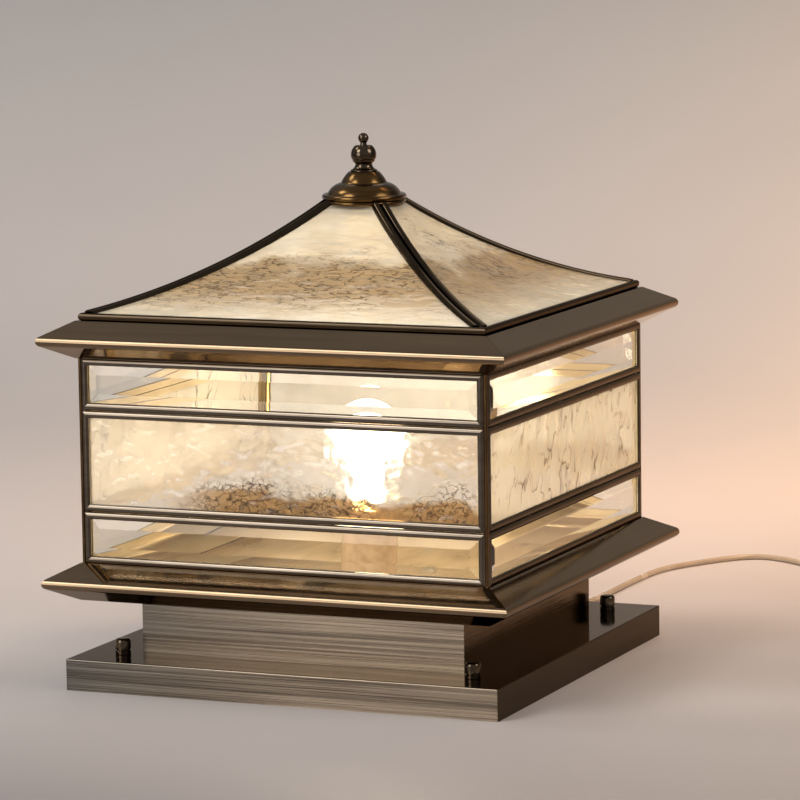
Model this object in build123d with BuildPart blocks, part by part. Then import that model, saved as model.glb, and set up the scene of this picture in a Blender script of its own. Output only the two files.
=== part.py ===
from build123d import *
import math
import os

# Corded pillar lantern with a lift-off pagoda roof.
# Millimetres, +Z up, origin at the centre of the base tray's underside, front towards -Y.

os.makedirs("parts", exist_ok=True)

# Sheet, seams and fits
sheet = 1.5  # folded sheet of the tray, neck and eaves
mitre_seam = 0.2  # solder line left between two mitred lengths
curved_gap = 0.3  # room between curved or moving neighbours
thread_gap = 0.1  # radial room in a screwed joint
hole_gap = 0.3  # radial room round a bolt

# Base tray and the mounting bars inside it
tray_side = 373.0
tray_height = 25.5
tray_edge_radius = 1.0
wiring_hole_side = 170.0
bar_width = 40.0
bar_thickness = 3.0
bar_end = 14.0  # bar beyond the last stud
stud_inset = 34.5  # studs in from the tray's sides
stud_diameter = 8.0
stud_reach = 9.0  # stud above the tray
anchor_spacing = 200.0
anchor_hole_diameter = 9.0
cap_nut_diameter = 12.6
cap_nut_height = 13.0
cap_nut_waist = 0.9  # depth of the groove above the nut's foot
cap_nut_foot = 3.2
cap_nut_rounding = 2.4

# Neck between the tray and the lower eave
neck_side = 280.0
neck_height = 47.0
neck_flange = 14.0
bolt_diameter = 6.0
bolt_head_width = 10.0
bolt_head_height = 4.0
bolt_nut_height = 5.0

# Eave mouldings, the same wedge below and above the glass
eave_side = 400.0
eave_root_side = 353.0
eave_half_height = 15.0
eave_tip_radius = 4.4
frame_flange = 12.0  # flange that the came frames stand on
bridge_flange = 21.5  # flange that carries the bridge bar
spigot_flange = 13.5  # flange that the roof rim rests on
floor_side = 340.0

# Came frames and the glass in them
body_side = 351.6
body_height = 165.5
came_width = 5.6
came_depth = 6.6
came_lip = 2.2  # depth of the bead in front of the glass
came_shoulder = 1.3  # height of the bead's sides behind its crown
groove_depth = 2.6
corner_notch = 3.2  # square notch between two frames at a corner
corner_rod = 2.4  # bar that is soldered into the notch
strip_opening = 30.4
tier_seam = 0.6
glass_thickness = 2.8
glass_gap = 0.1  # room on each face of the glass
glass_edge_gap = 0.4  # room at the edge of the glass
strip_bulge = 0.8  # bevelled strips stand this much proud of their edge
bevel_width = 7.5

# Roof
rim_side = 348.8
rim_height = 6.0
rim_lip = 3.0
rim_bead = 2.4  # rounding of the rim's outer edges
rim_ledge_drop = 3.8  # ledge for the roof glass below the rim's top
spigot_depth = 22.0
spigot_gap = 1.0
roof_mid_reach = 100.0  # distance from the axis of the hip's middle point
roof_mid_rise = 28.3  # its height above the rim
roof_top_rise = 78.0  # height of the hip's top end above the rim
roof_glass_thickness = 3.0
roof_glass_drop = 1.6  # glass below the crown of the hip bars
hip_width = 12.8
hip_depth = 6.0
hip_groove = 1.6
hip_groove_depth = 3.2
hip_bead_radius = 2.5  # rounding of both edges of each bead
hip_bead_flats = 3  # drawn flats round each edge of a bead
collar_side = 54.0
collar_height = 8.5
collar_plate = 3.0
collar_wall = 2.0

# Roof strap, pins and the bridge bar that the pins drop through
strap_width = 26.0
strap_thickness = 3.0
pin_diameter = 10.5
pin_length = 76.0
pin_reach_left = 92.0
pin_reach_right = 103.0  # not the left one's, so the roof seats only one way round
pin_tenon_diameter = 6.0
pin_point = 1.5
pin_nut_width = 10.0
pin_nut_height = 4.0
bridge_side = 336.0
grommet_flange = 2.0  # rubber beyond the hole, and its thickness outside the bar
grommet_wall = 1.8
bridge_screw_diameter = 4.0
bridge_screw_head = 7.0
bridge_screw_head_height = 2.4
bridge_screw_length = 9.0
bridge_screw_inset = 4.0
bridge_screw_spacing = 18.0

# Cap and finial
cap_ring_radius = 33.5
cap_bead_radius = 34.6
cap_dome_radius = 30.5
cap_step_radius = 18.8
cap_top_radius = 12.4
cap_ring_height = 3.0
cap_bead_height = 4.0
cap_dome_height = 9.7
cap_bell_height = 8.8
cap_wall = 1.5
finial_foot_radius = 10.6
finial_foot_height = 1.6
finial_waist_radius = 6.9
finial_urn_radius = 10.4
finial_lip_radius = 6.9
finial_neck_radius = 2.6
finial_ball_radius = 4.3
finial_height = 31.4
finial_bore_depth = 11.0
finial_stud_diameter = 8.0
finial_nut_width = 13.0
finial_nut_height = 6.0

# Lamp
holder_diameter = 47.0
holder_foot_height = 6.0
holder_groove = 0.8
holder_height = 60.0
holder_top_diameter = 42.0
holder_socket_depth = 27.0
shell_wall = 0.8
bulb_cap_diameter = 26.4
bulb_cap_length = 23.0
bulb_thread_depth = 0.9
bulb_thread_count = 5
bulb_contact_diameter = 10.0
bulb_contact_height = 3.0
bulb_diameter = 60.0
bulb_neck_diameter = 25.0
bulb_top = 219.0
bulb_wall = 1.0
bulb_cone_angle = 40.0  # where the round of the bulb runs into its cone
bulb_neck_rounding = 22.0
nipple_diameter = 10.0
nipple_bore = 7.0
nipple_below = 9.0
nipple_above = 5.0
nipple_nut_width = 14.0
nipple_nut_height = 4.0

# Wiring
terminal_length = 30.0
terminal_width = 20.0
terminal_height = 18.0
terminal_gap = 4.0  # room between the block and the bolt heads
lead_diameter = 2.2
lead_spacing = 4.0
cord_diameter = 5.0
cord_exit_x = 78.0
cord_exit_height = 11.0
gland_length = 28.0
gland_root_radius = 6.4
gland_tip_radius = 3.6
gland_flange_radius = 8.0
gland_flange_thickness = 2.0

# Put-away coil and plug
coil_outer_radius = 35.75
coil_pitch = 5.5
coil_lead_radius = 25.0  # bend from the coil to the plug
tie_thickness = 0.8
tie_width = 6.0
tie_gap = 1.0
plug_relief_length = 18.0
plug_length = 36.0
plug_width = 27.0
plug_rounding = 4.0
plug_pin_diameter = 4.0
plug_pin_length = 19.0
plug_pin_spacing = 19.0

# The cord's route on the floor, from the gland's tip to the coil, as the photo shows it
cord_route = [
    (cord_exit_x, tray_side / 2 + gland_length, cord_exit_height),
    (cord_exit_x, 231.0, cord_exit_height),
    (78.9, 252.0, 7.4),
    (80.0, 278.0, 3.3),
    (81.4, 308.0, 2.5),
    (82.9, 341.0, 2.5),
    (82.7, 376.0, 2.5),
    (83.1, 410.0, 2.5),
    (84.0, 440.0, 2.5),
    (86.2, 464.0, 2.5),
    (91.8, 485.5, 2.5),
    (101.6, 505.0, 2.5),
    (113.6, 526.0, 2.5),
    (126.6, 545.5, 2.5),
    (140.0, 559.5, 2.5),
    (156.0, 565.3, 2.5),
    (172.8, 561.0, 2.5),
    (189.5, 550.5, 2.5),
    (205.5, 540.0, 2.8),
    (221.0, 534.2, 3.5),
    (236.0, 534.2, 3.5),
]

# Levels and half sizes that follow from the sizes above
tray_half = tray_side / 2
neck_half = neck_side / 2
eave_root = eave_root_side / 2
body_half = body_side / 2
rim_half = rim_side / 2
collar_half = collar_side / 2
neck_inner = neck_half - neck_flange
bolt_circle = neck_inner + (neck_flange - sheet) / 2
neck_top = tray_height + neck_height
floor_level = neck_top + sheet
floor_top = floor_level + sheet
body_bottom = neck_top + 2 * eave_half_height
body_top = body_bottom + body_height
rim_bottom = body_top + 2 * eave_half_height
rim_top = rim_bottom + rim_height
roof_top = rim_top + roof_top_rise
strap_bottom = rim_bottom - spigot_depth
bridge_bottom = body_top + sheet
bridge_top = bridge_bottom + sheet * 2
cap_bottom = roof_top - sheet
cap_top = cap_bottom + cap_ring_height + cap_bead_height + cap_dome_height + cap_bell_height
holder_top = floor_top + holder_height
cord_radius = cord_diameter / 2
stud_spacing = tray_side - 2 * stud_inset
pin_places = [(-pin_reach_left, 0), (pin_reach_right, 0)]
terminal_reach = bolt_circle - bolt_head_width / math.sqrt(3) - terminal_gap - terminal_length / 2
block_top = tray_height + terminal_height
block_level = tray_height + terminal_height / 2
block_face = terminal_length / 2 - terminal_reach
sides = ["right", "back", "left", "front"]


def save(piece, name):
    """Label a finished piece and write it under the same name."""
    piece.part.label = name
    export_step(piece.part, f"parts/{name}.step")


def sheet_section(points, tip_radius=0.0):
    """Section of bent sheet along points, with its thickness to the left of the line."""
    with BuildSketch() as section:
        with BuildLine():
            if tip_radius > 0:
                middle = len(points) // 2
                radii = [tip_radius if i == middle else 0.0 for i in range(1, len(points) - 1)]
                FilletPolyline(*points, radius=radii)
            else:
                Polyline(*points)
            offset(amount=sheet, side=Side.LEFT)
        make_face()
    return section.sketch


def mitred_length(section, half_length):
    """Length of a moulding on the +X side, mitred at both ends for a square ring round the axis."""
    with BuildPart() as length:
        with BuildSketch(Plane.XZ):
            add(section)
        extrude(amount=half_length, both=True)
        for end in (1, -1):
            cut = Plane(origin=(mitre_seam / math.sqrt(2), 0, 0), z_dir=(1, end, 0))
            split(bisect_by=cut, keep=Keep.TOP)
    return length.part


def hex_prism(width, height):
    """Hexagonal nut blank or bolt head, standing on the plane of its builder's locations."""
    with BuildPart() as blank:
        with BuildSketch():
            RegularPolygon(radius=width / 2, side_count=6, major_radius=False)
        extrude(amount=height)
    return blank.part


def tube_radii(points):
    """Largest even bend at each corner of a cord: 0.45 of the shorter run over tan of half the turn."""
    corners = [Vector(*point) for point in points]
    radii = []
    for before, corner, after in zip(corners, corners[1:], corners[2:]):
        turn = (corner - before).get_angle(after - corner)
        shorter = min((corner - before).length, (after - corner).length)
        radii.append(0.45 * shorter / math.tan(math.radians(turn / 2)))
    return radii


def report_tube(name, piece, path_length, diameter):
    """Print a tube's length and how its volume compares with its section times its length."""
    expected = math.pi * diameter**2 / 4 * path_length
    print(f"{name}: length {path_length:.1f} mm, volume ratio {piece.part.volume / expected:.4f}")


# Base tray: folded sheet, open below, with the wiring hole, stud holes and the gland's hole
with BuildPart() as base_tray:
    Box(tray_side, tray_side, tray_height, align=(Align.CENTER, Align.CENTER, Align.MIN))
    upright = base_tray.edges().filter_by(Axis.Z)
    rim_edges = base_tray.faces().sort_by(Axis.Z)[-1].edges()
    fillet(upright + rim_edges, radius=tray_edge_radius)
    offset(amount=-sheet, openings=base_tray.faces().sort_by(Axis.Z)[0])
    with BuildSketch(Plane.XY.offset(tray_height)):
        Rectangle(wiring_hole_side, wiring_hole_side)
        with GridLocations(stud_spacing, stud_spacing, 2, 2):
            Circle(stud_diameter / 2 + hole_gap)
        with PolarLocations(bolt_circle, 4):
            Circle(bolt_diameter / 2 + hole_gap)
    extrude(amount=-2 * sheet, mode=Mode.SUBTRACT)
    with BuildSketch(Plane.XZ.offset(-tray_half)):
        with Locations((cord_exit_x, cord_exit_height)):
            Circle(gland_root_radius + hole_gap)
    extrude(amount=2 * sheet, mode=Mode.SUBTRACT)
save(base_tray, "base_tray")

# Two mounting bars that are bolted to the pillar inside the tray
with BuildPart() as mounting_bars:
    with BuildSketch():
        with GridLocations(0, stud_spacing, 1, 2):
            RectangleRounded(stud_spacing + 2 * bar_end, bar_width, bar_end / 2)
        with GridLocations(stud_spacing, stud_spacing, 2, 2):
            Circle(stud_diameter / 2 + thread_gap, mode=Mode.SUBTRACT)
        with GridLocations(anchor_spacing, stud_spacing, 2, 2):
            Circle(anchor_hole_diameter / 2, mode=Mode.SUBTRACT)
    extrude(amount=bar_thickness)
save(mounting_bars, "mounting_bars")

# Studs in the bars, reaching up through the tray
with BuildPart() as anchor_studs:
    with GridLocations(stud_spacing, stud_spacing, 2, 2):
        Cylinder(
            stud_diameter / 2,
            tray_height + stud_reach,
            align=(Align.CENTER, Align.CENTER, Align.MIN),
        )
    stud_ends = anchor_studs.edges().filter_by(GeomType.CIRCLE).group_by(Axis.Z)[-1]
    chamfer(stud_ends, length=stud_diameter / 10)
save(anchor_studs, "anchor_studs")

# Round cap nuts on the studs, with a waist above the foot
with BuildPart() as cap_nut:
    Cylinder(cap_nut_diameter / 2, cap_nut_height, align=(Align.CENTER, Align.CENTER, Align.MIN))
    fillet(cap_nut.edges().group_by(Axis.Z)[-1], radius=cap_nut_rounding)
    with BuildSketch(Plane.XY.offset(cap_nut_foot)):
        Circle(cap_nut_diameter / 2)
        Circle(cap_nut_diameter / 2 - cap_nut_waist, mode=Mode.SUBTRACT)
    extrude(amount=cap_nut_waist, mode=Mode.SUBTRACT)
    with BuildSketch():
        Circle(stud_diameter / 2 + thread_gap)
    extrude(amount=stud_reach + curved_gap, mode=Mode.SUBTRACT)
with BuildPart() as cap_nuts:
    with GridLocations(stud_spacing, stud_spacing, 2, 2):
        add(cap_nut.part.moved(Location((0, 0, tray_height))))
save(cap_nuts, "cap_nuts")

# Neck: four folded channels mitred into a square box, flanged at the top and bottom
neck_section = sheet_section(
    [
        (neck_inner, tray_height),
        (neck_half, tray_height),
        (neck_half, neck_top),
        (neck_inner, neck_top),
    ]
)
with BuildPart() as neck_box:
    with PolarLocations(0, 4):
        add(mitred_length(neck_section, neck_half))
    with BuildSketch():
        with PolarLocations(bolt_circle, 4):
            Circle(bolt_diameter / 2 + hole_gap)
    extrude(amount=neck_top, mode=Mode.SUBTRACT)
save(neck_box, "neck_box")

# Bolts through the neck's flanges: into the tray below, up to the eave and floor plate above
lower_head = tray_height + sheet
lower_nut = tray_height - sheet - bolt_nut_height
upper_head = floor_top
upper_nut = neck_top - sheet - bolt_nut_height


def bolt(head_level, tip_level):
    """Hexagon bolt with its head standing on head_level and its shank down to tip_level."""
    with BuildPart() as one_bolt:
        add(hex_prism(bolt_head_width, bolt_head_height).moved(Location((0, 0, head_level))))
        with BuildSketch(Plane.XY.offset(tip_level)):
            Circle(bolt_diameter / 2)
        extrude(amount=head_level - tip_level)
    return one_bolt.part


def bolt_nut(level):
    """Hexagon nut with room for the bolt's thread."""
    with BuildPart() as one_nut:
        add(hex_prism(bolt_head_width, bolt_nut_height).moved(Location((0, 0, level))))
        with BuildSketch(Plane.XY.offset(level)):
            Circle(bolt_diameter / 2 + thread_gap)
        extrude(amount=bolt_nut_height, mode=Mode.SUBTRACT)
    return one_nut.part


with BuildPart() as neck_bolts:
    with PolarLocations(bolt_circle, 4):
        add(bolt(lower_head, lower_nut - sheet))
        add(bolt(upper_head, upper_nut - sheet))
save(neck_bolts, "neck_bolts")

with BuildPart() as neck_nuts:
    with PolarLocations(bolt_circle, 4):
        add(bolt_nut(lower_nut))
        add(bolt_nut(upper_nut))
save(neck_nuts, "neck_nuts")

# Eave mouldings: folded wedges with a rounded tip, mitred at the corners
eave_apex = eave_side / 2  # where the two faces would meet without the rounding, closed in on below
for _ in range(12):
    eave_slope = math.atan2(eave_half_height, eave_apex - eave_root)
    eave_apex = eave_side / 2 + eave_tip_radius * (1 / math.sin(eave_slope) - 1)


def eave_section(bottom, lower_inner, upper_inner):
    """Wedge of bent sheet from a lower flange out to the tip and back to an upper flange."""
    middle = bottom + eave_half_height
    top = bottom + 2 * eave_half_height
    lower_points = [(lower_inner, bottom), (eave_root, bottom), (eave_apex, middle)]
    return sheet_section(lower_points + [(eave_root, top), (upper_inner, top)], eave_tip_radius)


with BuildPart() as lower_eave:
    lower_wedge = eave_section(neck_top, neck_inner, eave_root - frame_flange)
    with PolarLocations(0, 4):
        add(mitred_length(lower_wedge, eave_apex))
    with BuildSketch(Plane.XY.offset(neck_top)):
        with PolarLocations(bolt_circle, 4):
            Circle(bolt_diameter / 2 + hole_gap)
    extrude(amount=sheet, mode=Mode.SUBTRACT)
save(lower_eave, "lower_eave")

bridge_screw_reach = bridge_side / 2 - bridge_screw_inset
with BuildPart() as upper_eave:
    upper_wedge = eave_section(body_top, eave_root - bridge_flange, eave_root - spigot_flange)
    with PolarLocations(0, 4):
        add(mitred_length(upper_wedge, eave_apex))
    with BuildSketch(Plane.XY.offset(body_top)):
        with GridLocations(2 * bridge_screw_reach, bridge_screw_spacing, 2, 2):
            Circle(bridge_screw_diameter / 2 + hole_gap)
    extrude(amount=sheet, mode=Mode.SUBTRACT)
save(upper_eave, "upper_eave")

# Floor of the lamp chamber, on the lower eave's bottom flange
with BuildPart() as floor_plate:
    with BuildSketch(Plane.XY.offset(floor_level)):
        Rectangle(floor_side, floor_side)
        Circle(nipple_diameter / 2 + hole_gap, mode=Mode.SUBTRACT)
        with PolarLocations(bolt_circle, 4):
            Circle(bolt_diameter / 2 + hole_gap, mode=Mode.SUBTRACT)
    extrude(amount=sheet)
save(floor_plate, "floor_plate")

# Came frames: on each side three mitred rectangles of grooved bead, one above the other
strip_tier = strip_opening + 2 * came_width
middle_tier = body_height - 2 * strip_tier - 2 * tier_seam
tiers = {
    "lower": (body_bottom, strip_tier),
    "middle": (body_bottom + strip_tier + tier_seam, middle_tier),
    "upper": (body_top - strip_tier, strip_tier),
}
groove_width = glass_thickness + 2 * glass_gap
came_inner = body_half - corner_notch - came_width  # half width of an opening


def came_section(outer, direction):
    """Section of a grooved bead: local x runs across the face, local y is the way out.

    outer is where the came's outer edge lies, and direction points from there to the glass.
    """
    inner = outer + direction * came_width
    groove = inner - direction * groove_depth
    crown = outer + direction * came_width / 2
    face = body_half
    glass_front = face - came_lip
    glass_back = glass_front - groove_width
    back = face - came_depth
    with BuildSketch() as section:
        with BuildLine():
            ThreePointArc((outer, face - came_shoulder), (crown, face), (inner, face - came_shoulder))
            Polyline(
                (inner, face - came_shoulder),
                (inner, glass_front),
                (groove, glass_front),
                (groove, glass_back),
                (inner, glass_back),
                (inner, back),
                (outer, back),
                (outer, face - came_shoulder),
            )
        make_face()
    return section.sketch


def mitre_plane(y_end, z_end, y_out, z_out):
    """Mitre at a frame's outer corner, keeping the half towards the plane's own side."""
    seam = mitre_seam / 2
    return Plane(origin=(0, y_end - seam * y_out, z_end - seam * z_out), z_dir=(0, y_out, z_out))


def level_came(bottom, height, at_top):
    """Bottom or top member of one frame on the +X side."""
    edge = bottom + height if at_top else bottom
    outwards = 1 if at_top else -1
    half = body_half - corner_notch
    with BuildPart() as came:
        with BuildSketch(Plane((0, 0, 0), x_dir=(0, 0, 1), z_dir=(0, 1, 0))):
            add(came_section(edge, -outwards))
        extrude(amount=half, both=True)
        for end in (1, -1):
            split(bisect_by=mitre_plane(end * half, edge, end, -outwards), keep=Keep.BOTTOM)
            corner = Plane(origin=(mitre_seam / math.sqrt(2), 0, 0), z_dir=(1, end, 0))
            split(bisect_by=corner, keep=Keep.TOP)
    return came.part


def upright_came(bottom, height, end):
    """Side member of one frame on the +X side, at the +Y or -Y end."""
    half = body_half - corner_notch
    with BuildPart() as came:
        with BuildSketch(Plane((0, 0, bottom), x_dir=(0, 1, 0), z_dir=(0, 0, -1))):
            add(came_section(end * half, -end))
        extrude(amount=-height)
        for level, outwards in ((bottom, -1), (bottom + height, 1)):
            split(bisect_by=mitre_plane(end * half, level, -end, outwards), keep=Keep.BOTTOM)
        corner = Plane(origin=(mitre_seam / math.sqrt(2), 0, 0), z_dir=(1, -end, 0))
        split(bisect_by=corner, keep=Keep.TOP)
    return came.part


cames = []
for tier_bottom, tier_height in tiers.values():
    cames += [level_came(tier_bottom, tier_height, at_top) for at_top in (False, True)]
    cames += [upright_came(tier_bottom, tier_height, end) for end in (1, -1)]

for quarter, side in enumerate(sides):
    with BuildPart() as frame:
        with PolarLocations(0, 1, start_angle=90 * quarter):
            add(cames)
    save(frame, f"{side}_frame")

# Square rods soldered into the corner notches between the frames
with BuildPart() as corner_rods:
    rod_place = body_half - corner_notch + corner_rod / 2
    with BuildSketch(Plane.XY.offset(body_bottom)):
        with GridLocations(2 * rod_place, 2 * rod_place, 2, 2):
            RectangleRounded(corner_rod, corner_rod, corner_rod / 5)
    extrude(amount=body_height)
save(corner_rods, "corner_rods")

# Glass: clear bevelled strips above and below, flat textured panes in the middle
engagement = groove_depth - glass_edge_gap
pane_front = body_half - came_lip - glass_gap
pane_half = came_inner + engagement
for tier_name, (tier_bottom, tier_height) in tiers.items():
    pane_middle = tier_bottom + tier_height / 2
    pane_height = tier_height - 2 * came_width + 2 * engagement
    with BuildPart() as pane_blank:
        with BuildSketch(Plane.YZ.offset(pane_front - glass_thickness)):
            with Locations((0, pane_middle)):
                Rectangle(2 * pane_half, pane_height)
        extrude(amount=glass_thickness)
        if tier_name != "middle":
            bevel_reach = engagement + bevel_width
            with BuildSketch(Plane.YZ.offset(pane_front)):
                with Locations((0, pane_middle)):
                    Rectangle(2 * came_inner, pane_height - 2 * engagement)
            with BuildSketch(Plane.YZ.offset(pane_front + strip_bulge)):
                with Locations((0, pane_middle)):
                    Rectangle(2 * (pane_half - bevel_reach), pane_height - 2 * bevel_reach)
            loft(ruled=True)
    for quarter, side in enumerate(sides):
        with BuildPart() as pane:
            with PolarLocations(0, 1, start_angle=90 * quarter):
                add(pane_blank.part)
        save(pane, f"{side}_{tier_name}_pane")

# Bridge bar across the top of the body, with rubber grommets for the roof pins
bridge_thickness = bridge_top - bridge_bottom
grommet_bore = pin_diameter / 2 + curved_gap
bridge_hole = grommet_bore + grommet_wall
with BuildPart() as bridge_bar:
    with BuildSketch(Plane.XY.offset(bridge_bottom)):
        Rectangle(bridge_side, strap_width)
        with Locations(*pin_places):
            Circle(bridge_hole, mode=Mode.SUBTRACT)
        with GridLocations(2 * bridge_screw_reach, bridge_screw_spacing, 2, 2):
            Circle(bridge_screw_diameter / 2 + hole_gap, mode=Mode.SUBTRACT)
    extrude(amount=bridge_thickness)
save(bridge_bar, "bridge_bar")

with BuildPart() as pin_grommets:
    with Locations(*pin_places):
        with Locations((0, 0, bridge_bottom + bridge_thickness / 2)):
            Cylinder(bridge_hole + grommet_flange, bridge_thickness + 2 * grommet_flange)
            Cylinder(
                bridge_hole + 2 * grommet_flange,
                bridge_thickness,
                mode=Mode.SUBTRACT,
            )
            Cylinder(bridge_hole, bridge_thickness)
            Cylinder(
                grommet_bore,
                bridge_thickness + 2 * grommet_flange,
                mode=Mode.SUBTRACT,
            )
save(pin_grommets, "pin_grommets")

with BuildPart() as bridge_screws:
    with BuildSketch(Plane.XY.offset(bridge_top)):
        with GridLocations(2 * bridge_screw_reach, bridge_screw_spacing, 2, 2):
            Circle(bridge_screw_head / 2)
    extrude(amount=bridge_screw_head_height)
    with BuildSketch(Plane.XY.offset(bridge_top)):
        with GridLocations(2 * bridge_screw_reach, bridge_screw_spacing, 2, 2):
            Circle(bridge_screw_diameter / 2)
    extrude(amount=-bridge_screw_length)
    screw_tops = bridge_screws.edges().filter_by(GeomType.CIRCLE).group_by(Axis.Z)[-1]
    fillet(screw_tops, radius=bridge_screw_head_height / 2)
save(bridge_screws, "bridge_screws")

# Roof rim: a bead on the upper eave, a ledge for the glass and a spigot down inside the eave
spigot_outer = eave_root - spigot_flange - spigot_gap
ledge_level = rim_top - rim_ledge_drop
lip_inner = rim_half - rim_lip
with BuildSketch() as rim_section:
    with BuildLine():
        Polyline(
            (rim_half, rim_bottom),
            (rim_half, rim_top),
            (lip_inner, rim_top),
            (lip_inner, ledge_level),
            (spigot_outer - sheet, ledge_level),
            (spigot_outer - sheet, strap_bottom),
            (spigot_outer, strap_bottom),
            (spigot_outer, rim_bottom),
            close=True,
        )
    make_face()
    fillet(rim_section.vertices().group_by(Axis.X)[-1], radius=rim_bead)
with BuildPart() as roof_rim:
    with PolarLocations(0, 4):
        add(mitred_length(rim_section.sketch, rim_half))
save(roof_rim, "roof_rim")

# Roof curve: the crown of the hip bars, through three points in a plane through the axis
roof_curve = [
    (rim_half, rim_top),
    (roof_mid_reach, rim_top + roof_mid_rise),
    (collar_half, roof_top),
]


def curved_band(stretch, drop, thickness):
    """Section of a band drop below the roof curve, with its reach from the axis stretched."""
    (low_x, low_z), (mid_x, mid_z), (top_x, top_z) = roof_curve
    with BuildSketch() as section:
        with BuildLine():
            ThreePointArc(
                (stretch * low_x, low_z - drop),
                (stretch * mid_x, mid_z - drop),
                (stretch * top_x, top_z - drop),
            )
            offset(amount=thickness, side=Side.LEFT)
        make_face()
    return section.sketch


# Curved glass on the four roof faces, between the hip bars
hip_clear = hip_width / 2 + curved_gap
with BuildPart() as roof_blank:
    with BuildSketch(Plane.XZ):
        add(curved_band(1.0, roof_glass_drop, roof_glass_thickness))
    extrude(amount=rim_half, both=True)
    for end in (1, -1):
        hip_side = Plane(origin=(hip_clear * math.sqrt(2), 0, 0), z_dir=(1, end, 0))
        split(bisect_by=hip_side, keep=Keep.TOP)
    foot = Plane(origin=(rim_half - rim_lip - curved_gap, 0, 0), z_dir=(1, 0, 0))
    split(bisect_by=foot, keep=Keep.BOTTOM)
    head = Plane(origin=(collar_half + curved_gap, 0, 0), z_dir=(1, 0, 0))
    split(bisect_by=head, keep=Keep.TOP)
    split(bisect_by=Plane.XY.offset(ledge_level), keep=Keep.TOP)
for quarter, side in enumerate(sides):
    with BuildPart() as roof_pane:
        with PolarLocations(0, 1, start_angle=90 * quarter):
            add(roof_blank.part)
    save(roof_pane, f"{side}_roof_pane")

# Hip bars: two beads side by side with a groove between, turned about the centre of the roof curve
hip_plane = Plane((0, 0, 0), x_dir=(1, 1, 0), z_dir=(1, -1, 0))
with BuildLine(hip_plane):
    crown = ThreePointArc(*((math.sqrt(2) * reach, level) for reach, level in roof_curve))
bead_turns = [math.pi / 2 * step / hip_bead_flats for step in range(hip_bead_flats + 1)]
bead_edge = [
    (hip_bead_radius * (1 - math.cos(turn)), hip_bead_radius * (math.sin(turn) - 1)) for turn in bead_turns
]
half_section = [(hip_width / 2, -hip_depth)]
half_section += [(hip_width / 2 - inset, level) for inset, level in bead_edge]
half_section += [(hip_groove / 2 + inset, level) for inset, level in reversed(bead_edge)]
half_section += [(hip_groove / 2, -hip_groove_depth)]
with BuildSketch() as hip_section:
    with BuildLine():
        Polyline(*half_section, *((-across, level) for across, level in reversed(half_section)), close=True)
    make_face()
with BuildPart() as hip_blank:
    with BuildSketch(Plane(crown @ 0, x_dir=hip_plane.z_dir, z_dir=crown % 0)):
        add(hip_section.sketch)
    crown_turn = math.degrees(crown.length / crown.radius)
    revolve(axis=Axis(crown.arc_center, -hip_plane.z_dir), revolution_arc=crown_turn)
    for axis_dir in ((1, 0, 0), (0, 1, 0)):
        lip_wall = Plane(origin=Vector(*axis_dir) * (rim_half - rim_lip - curved_gap), z_dir=axis_dir)
        split(bisect_by=lip_wall, keep=Keep.BOTTOM)
    ring_wall = Plane(
        origin=Vector(1, 1, 0).normalized() * (cap_bead_radius + curved_gap), z_dir=(1, 1, 0)
    )
    split(bisect_by=ring_wall, keep=Keep.TOP)
    split(bisect_by=Plane.XY.offset(ledge_level), keep=Keep.TOP)
    collar_room = collar_side + 2 * curved_gap
    with Locations((0, 0, cap_bottom + curved_gap)):
        Box(
            collar_room,
            collar_room,
            2 * collar_height,
            align=(Align.CENTER, Align.CENTER, Align.MAX),
            mode=Mode.SUBTRACT,
        )
with BuildPart() as hip_bars:
    with PolarLocations(0, 4):
        add(hip_blank.part)
save(hip_bars, "hip_bars")

# Collar that closes the top of the roof
with BuildPart() as roof_collar:
    with BuildSketch(Plane.XY.offset(cap_bottom)):
        Rectangle(collar_side, collar_side)
    extrude(amount=-collar_height)
    with BuildSketch(Plane.XY.offset(cap_bottom - collar_plate)):
        Rectangle(collar_side - 2 * collar_wall, collar_side - 2 * collar_wall)
    extrude(amount=-collar_height, mode=Mode.SUBTRACT)
    with BuildSketch(Plane.XY.offset(cap_bottom)):
        Circle(finial_stud_diameter / 2 + hole_gap)
    extrude(amount=-collar_plate, mode=Mode.SUBTRACT)
save(roof_collar, "roof_collar")

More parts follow.
